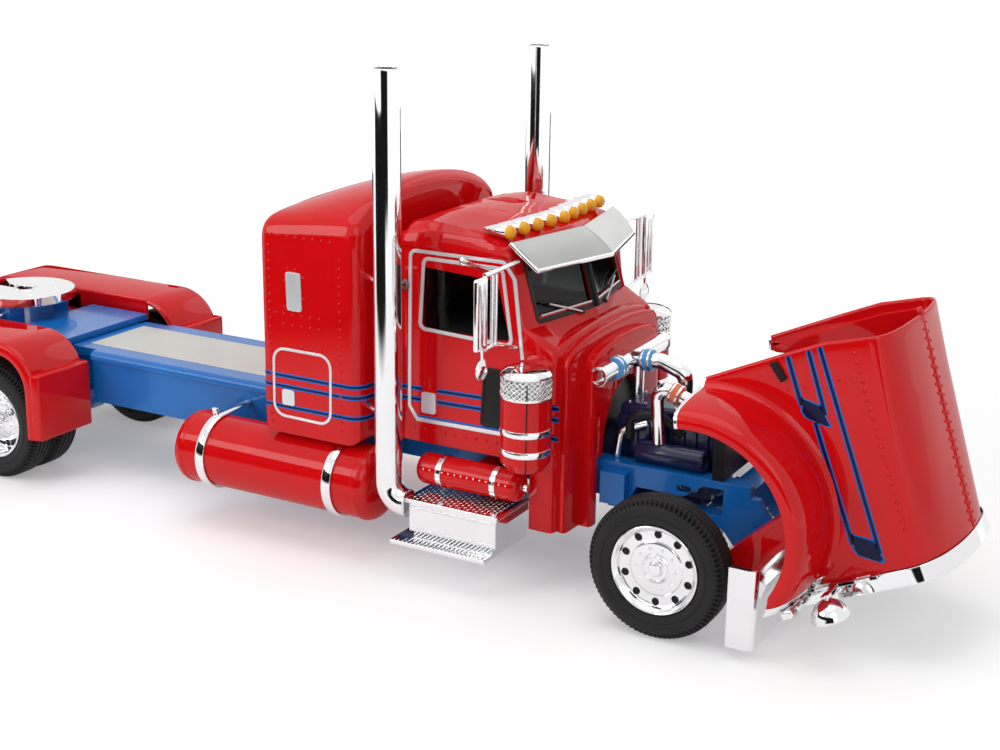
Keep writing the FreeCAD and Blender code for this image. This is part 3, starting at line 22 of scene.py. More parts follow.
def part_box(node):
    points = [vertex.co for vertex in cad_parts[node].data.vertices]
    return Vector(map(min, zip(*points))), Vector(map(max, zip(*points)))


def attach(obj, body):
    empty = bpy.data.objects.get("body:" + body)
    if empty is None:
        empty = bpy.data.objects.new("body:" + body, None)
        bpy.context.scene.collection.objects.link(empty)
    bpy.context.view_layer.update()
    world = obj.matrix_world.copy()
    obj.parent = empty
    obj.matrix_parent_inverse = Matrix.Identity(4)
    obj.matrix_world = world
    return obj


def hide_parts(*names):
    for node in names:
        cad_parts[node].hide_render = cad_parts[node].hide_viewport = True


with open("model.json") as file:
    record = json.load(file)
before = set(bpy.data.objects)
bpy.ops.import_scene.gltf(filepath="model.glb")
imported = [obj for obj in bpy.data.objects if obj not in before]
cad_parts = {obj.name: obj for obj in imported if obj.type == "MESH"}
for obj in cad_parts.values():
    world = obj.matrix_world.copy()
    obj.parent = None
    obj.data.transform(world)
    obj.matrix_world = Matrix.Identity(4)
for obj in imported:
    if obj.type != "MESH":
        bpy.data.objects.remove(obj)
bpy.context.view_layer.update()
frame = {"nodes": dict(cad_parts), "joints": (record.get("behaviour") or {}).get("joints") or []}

log = logging.getLogger("truck")

Flat = tuple[float, float]
Colour = tuple[float, float, float]
Place = tuple[float, float, float]

MM = 0.001
WELD = 0.0005
SUNK = 0.05
RIGHT_WAY = (0, -1, 0)
UP_WAY = (0, 0, 1)
REAR_WAY = (-1, 0, 0)
TYRE_FACE = -18.75
AXLE_X, AXLE_Z = (sum(corner[k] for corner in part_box("front_axle_pin")) / 2 / MM for k in (0, 2))
TILT = next(joint for joint in frame["joints"] if joint["name"] == "hood_tilt")
HINGE = Vector(TILT["pos_m"]) / MM - Vector((AXLE_X, 0, 0))
HOOD_TURN = math.radians(TILT["range_deg"][1])


class Axis(Enum):
    """The direction that a flat drawing is square to."""

    X = 0
    Y = 1
    Z = 2


class Side(Enum):
    """The truck's two sides."""

    RIGHT = "right"
    LEFT = "left"


class Body(Enum):
    """The moving bodies of the frame."""

    TRUCK = "truck"
    HOOD = "hood"
    FRONT = "front_wheelset"
    REAR_1 = "rear_wheelset_1"
    REAR_2 = "rear_wheelset_2"


class Tree:
    """The nodes of a material or of the world."""

    def __init__(self, owner: bpy.types.Material | bpy.types.World, clear: bool = True) -> None:
        """Take up the owner's nodes.

        Args:
            owner: The material or the world.
            clear: Whether the nodes that it starts with are taken out.
        """
        owner.use_nodes = True
        self.nodes, self.links = owner.node_tree.nodes, owner.node_tree.links
        if clear:
            self.nodes.clear()

    def add(self, kind: str, inputs: dict | None = None, **settings: object) -> bpy.types.Node:
        """Add a node.

        Args:
            kind: The node's type.
            inputs: For each input, its value or the socket that feeds it.
            settings: The node's own settings.

        Returns:
            The node.
        """
        node = self.nodes.new(f"ShaderNode{kind}")
        for setting, value in settings.items():
            setattr(node, setting, value)
        self.feed(node, inputs or {})
        return node

    def feed(self, node: bpy.types.Node, inputs: dict) -> None:
        """Set or link a node's inputs.

        Args:
            node: The node.
            inputs: For each input, its value or the socket that feeds it.
        """
        for name, value in inputs.items():
            if isinstance(value, bpy.types.NodeSocket):
                self.links.new(value, node.inputs[name])
            else:
                node.inputs[name].default_value = value

    def seen(self) -> bpy.types.NodeSocket:
        """One for rays that show the surroundings: camera, glossy and transmission.

        Returns:
            The value's socket.
        """
        path = self.add("LightPath")
        total = path.outputs["Is Camera Ray"]
        for name in ("Is Glossy Ray", "Is Transmission Ray"):
            inputs = {0: total, 1: path.outputs[name]}
            total = self.add("Math", inputs, operation="MAXIMUM").outputs["Value"]
        return total


@dataclass(frozen=True)
class Finish:
    """A surface: its colour, gloss, drift of tone, fine relief and softened edges."""

    name: str
    colour: Colour
    rough: float
    slot: str
    metal: float = 0.0
    coat: float = 0.0
    coat_rough: float = 0.04
    clear: float = 0.0
    ior: float = 1.5
    shine: float = 0.5
    tone: float = 0.06
    patch: float = 160.0
    drift: float = 0.06
    least_rough: float = 0.02
    grain: float = 2600.0
    relief: float = 0.08
    relief_mm: float = 0.03
    # How far edges are lightened: thin paint there, and a painted highlight along them.
    edge: float = 0.0
    soft_mm: float = 0.18

    def material(self) -> bpy.types.Material:
        """The node material, made once and then shared."""
        return bpy.data.materials.get(self.name) or self._build()

    def _tint(self, scale: float, lift: float = 0.0) -> tuple[float, ...]:
        """The colour made lighter or darker."""
        return (*(min(1.0, part * scale + lift) for part in self.colour), 1.0)

    def _build(self) -> bpy.types.Material:
        """Build the nodes.

        Returns:
            The new material.
        """
        material = bpy.data.materials.new(self.name)
        material.diffuse_color = (*self.colour, 1.0)
        tree = Tree(material, clear=False)
        where = tree.add("TexCoord").outputs["Object"]
        wander, fine = (
            tree.add("TexNoise", {"Vector": where, "Scale": scale, "Detail": detail}).outputs["Fac"]
            for scale, detail in ((self.patch, 3.0), (self.grain, 4.0)))
        ramp = tree.add("ValToRGB", {"Fac": wander})
        marks = zip(ramp.color_ramp.elements, (0.3, 0.7), (-self.tone, self.tone))
        for element, place, tone in marks:
            element.position = place
            element.color = self._tint(1.0 + tone)
        colour = ramp.outputs["Color"]
        normal = tree.add("Bevel", {"Radius": self.soft_mm * MM}, samples=4).outputs["Normal"]
        # Painted highlight on edges, together with their thinner paint.
        if self.edge > 0.0:
            colour = self._edge_paint_and_highlight(tree, normal, colour)
        spread = tree.add("MapRange", {"To Min": max(self.least_rough, self.rough - self.drift),
                                       "To Max": self.rough + self.drift, "Value": fine})
        bump = tree.add("Bump", {"Strength": self.relief, "Distance": self.relief_mm * MM,
                                 "Height": fine, "Normal": normal})
        tree.feed(tree.nodes["Principled BSDF"], {
            "Metallic": self.metal, "IOR": self.ior, "Specular IOR Level": self.shine,
            "Coat Weight": self.coat, "Coat Roughness": self.coat_rough,
            "Transmission Weight": self.clear, "Base Color": colour,
            "Roughness": spread.outputs["Result"], "Normal": bump.outputs["Normal"]})
        return material

    def _edge_paint_and_highlight(self, tree: Tree, normal: bpy.types.NodeSocket,
                   colour: bpy.types.NodeSocket) -> bpy.types.NodeSocket:
        """Lighten the colour where the surface turns: thin edge paint and a painted highlight.

        Args:
            tree: The material's nodes.
            normal: The softened normal.
            colour: The colour away from edges.

        Returns:
            The tinted colour's socket.
        """
        plain = tree.add("NewGeometry").outputs["Normal"]
        dot = tree.add("VectorMath", {0: normal, 1: plain}, operation="DOT_PRODUCT")
        paint_and_highlight_mask = tree.add("MapRange", {"From Min": 0.99, "From Max": 0.75, "To Max": self.edge,
                                     "Value": dot.outputs["Value"]})
        inputs = {"Factor": paint_and_highlight_mask.outputs["Result"], "A": colour, "B": self._tint(1.5, 0.04)}
        return tree.add("Mix", inputs, data_type="RGBA").outputs["Result"]


RED = Finish("red_enamel", (0.66, 0.004, 0.006), 0.20, "red_paint", coat=0.55, shine=0.0,
             edge=0.3, tone=0.05, relief=0.04)
BLUE = Finish("blue_enamel", (0.004, 0.155, 0.53), 0.30, "blue_paint", coat=0.3, shine=0.3,
              edge=0.4, tone=0.08)
NAVY = Finish("navy_enamel", (0.012, 0.016, 0.07), 0.30, "navy_paint", coat=0.4, shine=0.3,
              edge=0.5, tone=0.12)
CHROME = Finish("bright_plating", (0.82, 0.82, 0.83), 0.06, "chrome", metal=1.0, tone=0.02,
                drift=0.03, relief=0.012, grain=500.0)
SATIN = Finish("satin_plating", (0.43, 0.43, 0.42), 0.34, "chrome", metal=1.0, tone=0.04,
               drift=0.05, relief=0.10)
MIRROR = Finish("mirror_glass", (0.75, 0.77, 0.8), 0.04, "chrome", metal=1.0)
PIN = Finish("turned_pin_steel", (0.55, 0.55, 0.57), 0.28, "steel", metal=1.0)
RUBBER = Finish("tyre_rubber_black", (0.014, 0.013, 0.014), 0.55, "tyre_rubber", shine=0.25,
                tone=0.25, relief=0.3, grain=3600.0, drift=0.12)
BLACK = Finish("moulded_black", (0.010, 0.010, 0.011), 0.38, "black_plastic", shine=0.25,
               tone=0.2, relief=0.15)
GLASS = Finish("smoked_glass", (0.20, 0.21, 0.21), 0.03, "clear_glass", clear=1.0, ior=1.25,
               drift=0.01, relief=0.02, tone=0.03)
LENS = Finish("clear_lens", (0.93, 0.94, 0.95), 0.05, "clear_glass", clear=0.9, ior=1.49,
              drift=0.02)
AMBER = Finish("amber_lens_paint", (0.95, 0.42, 0.008), 0.24, "amber_lens", coat=0.25, shine=0.3,
               tone=0.10)
DARK_RED = Finish("dark_red_lens", (0.12, 0.004, 0.004), 0.2, "red_paint", coat=0.8)
PALE = Finish("pale_deck_paint", (0.60, 0.60, 0.57), 0.42, "pale_plate", tone=0.05, relief=0.25,
              edge=0.2)
SILVER = Finish("silver_paint", (0.80, 0.82, 0.84), 0.32, "chrome", metal=0.55, tone=0.05,
                relief=0.15)
STRIPE = Finish("stripe_blue", (0.004, 0.16, 0.62), 0.30, "blue_paint", coat=0.2, shine=0.1)
CORE = Finish("stripe_navy", (0.003, 0.005, 0.045), 0.30, "navy_paint", coat=0.2, shine=0.1)
SKY = Finish("light_blue_sleeve", (0.07, 0.36, 0.78), 0.34, "light_blue_plastic", coat=0.3)
ORANGE = Finish("orange_sleeve", (0.80, 0.13, 0.03), 0.34, "orange_plastic", coat=0.3)

NODE_FINISH: dict[Finish, tuple[str, ...]] = {
    RED: ("sleeper_shell", "cab_shell", "cowl", "air_cleaners", "rear_fender_right",
          "rear_fender_left", "fuel_tank_right", "fuel_tank_left", "air_tanks", "hood_shell"),
    BLUE: ("frame_rails", "front_suspension", "rear_suspension", "drive_shaft", "deck_cover",
           "coupling_plate", "fifth_wheel_pedestal"),
    NAVY: ("engine_block",),
    BLACK: ("radiator", "cab_interior", "firewall", "hood_latches"),
    GLASS: ("cab_glazing",),
    AMBER: ("marker_lenses",),
    PALE: ("deck_insert",),
    SKY: ("intake_couplers",),
    ORANGE: ("charge_coupler",),
    RUBBER: ("front_tyres", "rear_tyres_1", "rear_tyres_2"),
    PIN: ("front_axle_pin", "rear_axle_pin_1", "rear_axle_pin_2"),
    SATIN: ("sun_visor",),
}


def dress_nodes() -> None:
    """Give every node of the frame its finish; those not named are plated."""
    chosen = {node: finish for finish, names in NODE_FINISH.items() for node in names}
    for name, node in frame["nodes"].items():
        node.data.materials.clear()
        node.data.materials.append(chosen.get(name, CHROME).material())


def row(start: float, step: float, count: int) -> list[float]:
    """Evenly spaced numbers."""
    return [start + step * k for k in range(count)]


def arc(turn: float, steps: int) -> list[float]:
    """Evenly spaced angles from zero to a turn, both included."""
    return [turn * k / steps for k in range(steps + 1)]


def circle(count: int) -> list[float]:
    """Evenly spaced angles of a whole turn, its end left out."""
    return [2 * math.pi * k / count for k in range(count)]


def rounded_path(points: Sequence[Place], radius: float, steps: int = 6,
                 closed: bool = False) -> list[Vector]:
    """A path through corner points with each corner turned in an arc.

    Args:
        points: The corners.
        radius: The arcs' radius.
        steps: Straight bits to an arc.
        closed: Whether the path returns to its start.

    Returns:
        The points of the rounded path.
    """
    corners = [Vector(point) for point in points]
    count = len(corners)
    path = []
    for index, corner in enumerate(corners):
        if not closed and index in (0, count - 1):
            path.append(corner)
            continue
        back = (corners[index - 1] - corner).normalized()
        ahead = (corners[(index + 1) % count] - corner).normalized()
        half = back.angle(ahead) / 2
        if half > math.pi / 2 - 0.01:
            path.append(corner)
            continue
        set_back = radius / math.tan(half)
        centre = corner + (back + ahead).normalized() * (radius / math.sin(half))
        first = corner + back * set_back - centre
        last = corner + ahead * set_back - centre
        sweep = first.angle(last)
        for step in range(steps + 1):
            share = step / steps
            arm = first * math.sin((1 - share) * sweep) + last * math.sin(share * sweep)
            path.append(centre + arm / math.sin(sweep))
    return path


def flat_path(points: Sequence[Flat], radius: float, closed: bool = True,
              steps: int = 5) -> list[Flat]:
    """A rounded path on a flat drawing.

    Args:
        points: The corners.
        radius: The corners' radius.
        closed: Whether the path returns to its start.
        steps: Straight bits to a corner.

    Returns:
        The points of the path.
    """
    path = rounded_path([(a, b, 0.0) for a, b in points], radius, steps, closed)
    return [(p.x, p.y) for p in path]


def on_plane(axis: Axis, level: float, point: Flat) -> Vector:
    """A point of a flat drawing in space.

    Args:
        axis: The direction square to the drawing.
        level: The place along it.
        point: The point on the drawing.

    Returns:
        The point in space.
    """
    place = list(point)
    place.insert(axis.value, level)
    return Vector(place)


def bezier(corners: Sequence[Flat], steps: int) -> list[Flat]:
    """Points of a cubic curve.

    Args:
        corners: Its four control points.
        steps: Straight bits.

    Returns:
        The points, ends included.
    """
    points = []
    for step in range(steps + 1):
        s = step / steps
        weights = ((1 - s) ** 3, 3 * s * (1 - s) ** 2, 3 * s ** 2 * (1 - s), s ** 3)
        points.append(tuple(sum(w * c[k] for w, c in zip(weights, corners)) for k in (0, 1)))
    return points


def corner_normals(line: Sequence[Vector], least: float) -> list[Vector]:
    """The side shift of each corner of a closed flat line, long enough for its mitre.

    Args:
        line: The line's corners.
        least: The smallest share that a sharp corner's mitre is divided by.

    Returns:
        For each corner, a vector to the line's right.
    """
    shifts = []
    for index, point in enumerate(line):
        way_in = (point - line[index - 1]).normalized()
        way_out = (line[(index + 1) % len(line)] - point).normalized()
        side = Vector(((way_in + way_out).y, -(way_in + way_out).x)).normalized()
        shifts.append(side * (1.0 / max(least, side.dot(Vector((way_in.y, -way_in.x))))))
    return shifts


def inset(outline: Sequence[Flat], distance: float) -> list[Flat]:
    """Draw a closed outline in.

    Args:
        outline: Its points, counted clockwise.
        distance: How far each side moves inward.

    Returns:
        The moved points.
    """
    line = [Vector(point) for point in outline]
    shifts = corner_normals(line, 0.5)
    return [tuple(point + shift * distance) for point, shift in zip(line, shifts)]


def level_at(x: float, table: Sequence[Flat]) -> float:
    """A height read from a table of stations.

    Args:
        x: The station.
        table: (Station, height) pairs in rising order.

    Returns:
        The height, evened out between the pairs.
    """
    if x <= table[0][0]:
        return table[0][1]
    for (x0, z0), (x1, z1) in zip(table, table[1:]):
        if x <= x1:
            share = (x - x0) / (x1 - x0)
            return z0 + (z1 - z0) * share * share * (3 - 2 * share)
    return table[-1][1]


class Form:
    """A mesh in the making."""

    def __init__(self) -> None:
        """Start with an empty mesh."""
        self.mesh = bmesh.new()

    def loft(self, rings: Sequence[Sequence[Vector]], wrap: bool = True, caps: bool = True,
             around: bool = False) -> Form:
        """Skin a row of point rings.

        Args:
            rings: Rings of the same number of points.
            wrap: Whether each ring is closed.
            caps: Whether the first and last ring are filled.
            around: Whether the last ring joins the first.

        Returns:
            This form.
        """
        rows = [[self.mesh.verts.new(point) for point in ring] for ring in rings]
        count = len(rows[0])
        pairs = list(zip(rows, rows[1:])) + ([(rows[-1], rows[0])] if around else [])
        for near, far in pairs:
            for index in range(count if wrap else count - 1):
                after = (index + 1) % count
                self.mesh.faces.new((near[index], near[after], far[after], far[index]))
        if caps and wrap and not around:
            self.mesh.faces.new(list(reversed(rows[0])))
            self.mesh.faces.new(rows[-1])
        return self

    def block(self, low: Place, high: Place, bevel: float = 0.0, segments: int = 2) -> Form:
        """Add a box between two corners, its edges rounded.

        Args:
            low: The lowest corner.
            high: The highest corner.
            bevel: The edges' radius.
            segments: Steps of the rounding.

        Returns:
            This form.
        """
        low_point, high_point = Vector(low), Vector(high)
        size = high_point - low_point
        place = Matrix.Translation((low_point + high_point) / 2) @ Matrix.Diagonal((*size, 1.0))
        made = bmesh.ops.create_cube(self.mesh, size=1.0, matrix=place)["verts"]
        if bevel > 0.0:
            edges = list({edge for vert in made for edge in vert.link_edges})
            bmesh.ops.bevel(self.mesh, geom=edges, offset=min(bevel, 0.45 * min(size)),
                            segments=segments, profile=0.5, affect="EDGES", clamp_overlap=True)
        return self

    def sweep(self, path: Sequence[Sequence[float]], radii: Sequence[float] | float,
              sides: int = 14) -> Form:
        """Add a round bar along a path.

        Args:
            path: The points of its middle line.
            radii: One radius, or one to each point.
            sides: Corners of its section.

        Returns:
            This form.
        """
        path = [Vector(point) for point in path]
        sizes = [radii] * len(path) if isinstance(radii, (int, float)) else list(radii)
        side = (path[1] - path[0]).normalized().orthogonal().normalized()
        rings = []
        for index, point in enumerate(path):
            turn = (path[min(index + 1, len(path) - 1)] - path[max(index - 1, 0)]).normalized()
            side = (side - turn * side.dot(turn)).normalized()
            up = turn.cross(side)
            rings.append([point + (side * math.cos(a) + up * math.sin(a)) * sizes[index]
                          for a in circle(sides)])
        return self.loft(rings)

    def rod(self, start: Place, end: Place, radius: float, sides: int = 12) -> Form:
        """Add a straight round bar."""
        return self.sweep([start, end], radius, sides)

    def spin(self, columns: Sequence[Sequence[Flat]], centre: Place, axis: Axis,
             start: float = 0.0) -> Form:
        """Add a turned skin, one profile to each step of the turn.

        Args:
            columns: For each step, (place along the axis, radius) points.
            centre: A point of the axis.
            axis: The axis of the turn.
            start: The first step's angle.

        Returns:
            This form.
        """
        middle = Vector(centre)
        rings = []
        for turn, profile in zip(circle(len(columns)), columns):
            c, s = math.cos(start + turn), math.sin(start + turn)
            out = on_plane(axis, 0.0, (c, s))
            step = on_plane(axis, 1.0, (0.0, 0.0))
            rings.append([middle + step * along + out * radius for along, radius in profile])
        return self.loft(rings, wrap=False, around=True)

    def turned(self, profile: Sequence[Flat], centre: Place, axis: Axis, sides: int = 48) -> Form:
        """Add a turned skin of one profile."""
        return self.spin([profile] * sides, centre, axis)

    def plate(self, outline: Sequence[Flat], axis: Axis, low: float, high: float) -> Form:
        """Add a flat plate of any outline.

        Args:
            outline: Its corners on the drawing.
            axis: The direction square to it.
            low: Where it starts along that direction.
            high: Where it ends.

        Returns:
            This form.
        """
        return self.loft([[on_plane(axis, level, point) for point in outline]
                          for level in (low, high)])

    def stroke(self, points: Sequence[Flat], width: float, low: float, high: float,
               closed: bool = False) -> Form:
        """Add a thin band along a line of a drawing square to Y.

        Args:
            points: The line.
            width: The band's width.
            low: The band's back.
            high: The band's face.
            closed: Whether the line returns to its start.

        Returns:
            This form.
        """
        line = [Vector(point) for point in points]
        count = len(line)
        rings = []
        for index, point in enumerate(line):
            back = line[index - 1] if closed or index else point
            ahead = line[(index + 1) % count] if closed or index < count - 1 else point
            way_in = ((point - back) if (point - back).length else (ahead - point)).normalized()
            way_out = (ahead - point).normalized() if (ahead - point).length else way_in
            side = Vector((-(way_in + way_out).y, (way_in + way_out).x)).normalized()
            reach = width / 2 / max(0.5, abs(side.dot(Vector((-way_in.y, way_in.x)))))
            left, right = point + side * reach, point - side * reach
            corners = ((left, low), (left, high), (right, high), (right, low))
            rings.append([Vector((spot.x, level, spot.y)) for spot, level in corners])
        return self.loft(rings, around=closed)

    def ring_of(self, outline: Sequence[Flat], section: Sequence[Flat]) -> Form:
        """Add a frame that follows a closed outline square to X.

        Args:
            outline: The outline's (y, z) points, counted so that outward is to the right.
            section: The frame's section, (outward, station) points.

        Returns:
            This form.
        """
        line = [Vector(point) for point in outline]
        rings = [[Vector((x, *(point + shift * push))) for push, x in section]
                 for point, shift in zip(line, corner_normals(line, 0.6))]
        return self.loft(rings, around=True)

    def dome(self, centre: Place, normal: Place, radius: float, height: float,
             sides: int = 8) -> Form:
        """Add a low round head, such as a rivet's.

        Args:
            centre: The middle of its foot.
            normal: The way it stands out.
            radius: The foot's radius.
            height: How far it stands out.
            sides: Corners of its foot.

        Returns:
            This form.
        """
        foot, way = Vector(centre), Vector(normal).normalized()
        path = [foot - way * SUNK, foot + way * height * 0.6, foot + way * height]
        return self.sweep(path, [radius, radius * 0.8, radius * 0.3], sides)

    def both(self) -> Form:
        """Add the mirror image on the truck's other side.

        Returns:
            This form.
        """
        parts = self.mesh.verts[:] + self.mesh.edges[:] + self.mesh.faces[:]
        for part in bmesh.ops.duplicate(self.mesh, geom=parts)["geom"]:
            if isinstance(part, bmesh.types.BMVert):
                part.co.y = -part.co.y
        return self

    def on(self, side: Side) -> Form:
        """Leave the form on the right, or move it to the left."""
        for vert in self.mesh.verts:
            vert.co.y *= 1 if side is Side.RIGHT else -1
        return self

    def clean(self) -> Form:
        """Weld doubled points and turn all faces outward.

        Returns:
            This form.
        """
        bmesh.ops.remove_doubles(self.mesh, verts=self.mesh.verts, dist=WELD)
        bmesh.ops.recalc_face_normals(self.mesh, faces=self.mesh.faces)
        return self

    def data(self, name: str) -> bpy.types.Mesh:
        """Make the form a mesh and free it.

        Args:
            name: The mesh's name.

        Returns:
            The mesh.
        """
        made = bpy.data.meshes.new(name)
        self.mesh.to_mesh(made)
        self.mesh.free()
        return made

    def piece(self, name: str, finish: Finish, replaces: Sequence[str] = (),
              body: Body = Body.TRUCK, smooth_deg: float = 32.0) -> bpy.types.Object:
        """Finish the form as a piece of the truck, tied to the frame.

        Args:
            name: The piece's name.
            finish: Its surface.
            replaces: The frame's nodes that it stands for.
            body: The body it moves with.
            smooth_deg: The largest bend that is shaded smooth.

        Returns:
            The piece.
        """
        self.clean()
        place = Matrix.Diagonal((MM, MM, MM, 1.0)) @ Matrix.Translation((AXLE_X, 0, 0))
        bmesh.ops.transform(self.mesh, matrix=place, verts=self.mesh.verts)
        data = self.data(name)
        data.materials.append(finish.material())
        data.polygons.foreach_set("use_smooth", [True] * len(data.polygons))
        data.set_sharp_from_angle(angle=math.radians(smooth_deg))
        piece = add_object(name, data)
        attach(piece, body.value)
        if replaces:
            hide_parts(*replaces)
        log.info("piece %s on %s, %d faces", name, body.value, len(data.polygons))
        return piece

    def hood_piece(self, name: str, finish: Finish, replaces: Sequence[str] = (),
                   smooth_deg: float = 32.0) -> bpy.types.Object:
        """Turn the form with the hood to its open place and finish it as a piece of it.

        Args:
            name: The piece's name.
            finish: Its surface.
            replaces: The frame's nodes that it stands for.
            smooth_deg: The largest bend that is shaded smooth.

        Returns:
            The piece.
        """
        turn = Matrix.Rotation(HOOD_TURN, 4, "Y")
        place = Matrix.Translation(HINGE) @ turn @ Matrix.Translation(-HINGE)
        bmesh.ops.transform(self.mesh, matrix=place, verts=self.mesh.verts)
        return self.piece(name, finish, replaces, Body.HOOD, smooth_deg)


def add_object(name: str, data: bpy.types.ID) -> bpy.types.Object:
    """Put a mesh, a lamp or a camera in the scene.

    Args:
        name: The object's name.
        data: What it holds.

    Returns:
        The object.
    """
    item = bpy.data.objects.new(name, data)
    bpy.context.scene.collection.objects.link(item)
    return item


def cut_form(blank: Form, *tools: Form) -> Form:
    """Cut closed forms out of another, one after the other.

    Args:
        blank: The form that is cut.
        tools: The cutters, none of which crosses itself.

    Returns:
        The form that is left.
    """
    meshes = [form.clean().data("scratch") for form in (blank, *tools)]
    objects = [add_object("scratch", data) for data in meshes]
    for tool in objects[1:]:
        modifier = objects[0].modifiers.new("cut", "BOOLEAN")
        modifier.operation = "DIFFERENCE"
        modifier.solver = "EXACT"
        modifier.object = tool
    graph = bpy.context.evaluated_depsgraph_get()
    graph.update()
    result = Form()
    result.mesh.from_mesh(objects[0].evaluated_get(graph).to_mesh())
    for item in objects:
        bpy.data.objects.remove(item)
    for data in meshes:
        bpy.data.meshes.remove(data)
    return result


@dataclass
class Tyres:
    """The rubber tyres of one axle: rounded shoulders with lugs, and a grooved tread."""

    station: float
    body: Body
    node: str
    depths: tuple[float, ...]
    radius: float = 8.25
    width: float = 4.3
    bead: float = 5.27
    groove: float = 0.28
    lugs: int = 84
    lug_cut: float = 0.34
    first_lug: float = math.pi / 2 + 0.02

    def profile(self, cut: float) -> list[Flat]:
        """Section of the tyre.

        Args:
            cut: How deep the shoulder is notched at this step.

        Returns:
            (Depth from the outer face, radius) points, bead to bead.
        """
        r, w, floor = self.radius, self.width, self.radius - self.groove
        half = [(0.55, self.bead), (0.30, self.bead + 0.12), (0.16, 5.75), (0.08, 6.2),
                (0.16, 6.32), (0.05, 6.45), (0.02, 6.9), (0.04, 7.1), (0.10, 7.3),
                (0.22 + cut * 0.7, 7.58), (0.46 + cut * 0.8, 7.90 - cut),
                (0.78, r - 0.08 - cut), (1.02, r - 0.02), (1.30, r), (1.32, floor),
                (1.52, floor), (1.54, r)]
        middle = [(w / 2 - 0.10, r), (w / 2 - 0.08, floor), (w / 2 + 0.08, floor),
                  (w / 2 + 0.10, r)]
        return half + middle + [(w - d, radius) for d, radius in reversed(half)]

    def build(self) -> None:
        """Build the tyres."""
        form = Form()
        plain, notched = self.profile(0.0), self.profile(self.lug_cut)
        for depth in self.depths:
            columns = [[(TYRE_FACE + depth + d, r) for d, r in column + column[:1]]
                       for column in [plain, plain, notched, notched] * self.lugs]
            form.spin(columns, (self.station, 0, AXLE_Z), Axis.Y, self.first_lug)
        form.both().piece(f"tyres_{self.body.value}", RUBBER, [self.node], self.body, 24)


@dataclass
class Wheels:
    """The plated wheels of one axle: lip, dished disc with hand holes, nuts and hub."""

    station: float
    body: Body
    node: str
    dish: float
    hub_out: float
    back: float
    rim: float = 5.25
    count: int = 10
    hole_circle: float = 4.0
    hole_radius: float = 0.46
    nut_circle: float = 2.35
    nut_radius: float = 0.13
    # Radii of a black ring of painted shade, seen through the hand holes.
    dark: Flat = (3.3, 4.55)

    def profile(self) -> list[Flat]:
        """Section of the wheel from its hub over the disc and lip to its back.

        Returns:
            (Depth from the tyre's outer face, radius) points.
        """
        d, h = self.dish, self.dish - self.hub_out
        return [(h, 0.0), (h, 0.52), (h + 0.05, 0.70), (h + 0.18, 0.78), (d - 0.22, 0.84),
                (d - 0.16, 0.90), (d - 0.16, 1.40), (d - 0.26, 1.46), (d - 0.30, 1.56),
                (d - 0.22, 1.66), (d - 0.14, 1.74), (d - 0.14, 2.95), (d - 0.08, 3.12),
                (d + 0.04, 3.22), (d + 0.08, 3.45), (d + 0.06, 4.35), (d - 0.05, 4.52),
                (max(d - 0.4, 0.7), 4.62), (0.62, 4.72), (0.50, 4.80), (0.30, 4.95), (0.22, 5.10),
                (0.30, 5.22), (0.5, self.rim), (self.back, self.rim), (self.back, 4.9),
                (d + 1.0, 4.5), (d + 1.0, 0.0)]

    def _around(self, radius: float, phase: float) -> list[Flat]:
        """Places evenly round the axle.

        Args:
            radius: The circle's radius.
            phase: The first place's share of a step.

        Returns:
            (x, z) places.
        """
        angles = [2 * math.pi * (index + phase) / self.count for index in range(self.count)]
        return [(self.station + radius * math.cos(a), AXLE_Z + radius * math.sin(a))
                for a in angles]

    def build(self) -> None:
        """Build the wheels, their hand holes cut through and darkened with painted shade."""
        centre, face = (self.station, 0.0, AXLE_Z), TYRE_FACE + self.dish
        blank = Form().turned([(TYRE_FACE + d, r) for d, r in self.profile()], centre, Axis.Y, 80)
        tools = Form()
        near = face - 1.0
        for x, z in self._around(self.hole_circle, 0.5):
            tools.rod((x, near, z), (x, near + 3.0, z), self.hole_radius, 18)
        wheel = cut_form(blank, tools)
        y, nut = face - 0.14, self.nut_radius
        for x, z in self._around(self.nut_circle, 0.0):
            wheel.sweep([(x, y + 0.1, z), (x, y - 0.12, z), (x, y - 0.2, z)],
                        [nut, nut, nut * 0.5], 6)
        wheel.both().piece(f"wheels_{self.body.value}", CHROME, [self.node], self.body, 30)
        # A black ring halfway down the hand holes: painted shade inside them.
        near, (low, high) = face + 0.5, self.dark
        ring = [(near, low), (near, high), (near + 0.2, high), (near + 0.2, low), (near, low)]
        dark = Form().turned(ring, centre, Axis.Y, 40)
        dark.both().piece(f"wheel_hole_shades_{self.body.value}", BLACK, body=self.body)


@dataclass
class RunningGear:
    """All wheels and tyres."""

    first_drive: float = -100.4
    second_drive: float = -121.6
    second_tyre: float = 4.8

    def build(self) -> None:
        """Build the three axles' wheels and tyres."""
        Tyres(0.0, Body.FRONT, "front_tyres", (0.0,)).build()
        Wheels(0.0, Body.FRONT, "front_wheels", 1.1, 0.75, 3.8).build()
        drives = ((self.first_drive, Body.REAR_1, 1), (self.second_drive, Body.REAR_2, 2))
        for station, body, number in drives:
            Tyres(station, body, f"rear_tyres_{number}", (0.0, self.second_tyre)).build()
            Wheels(station, body, f"rear_wheels_{number}", 3.0, 1.7, 8.6).build()


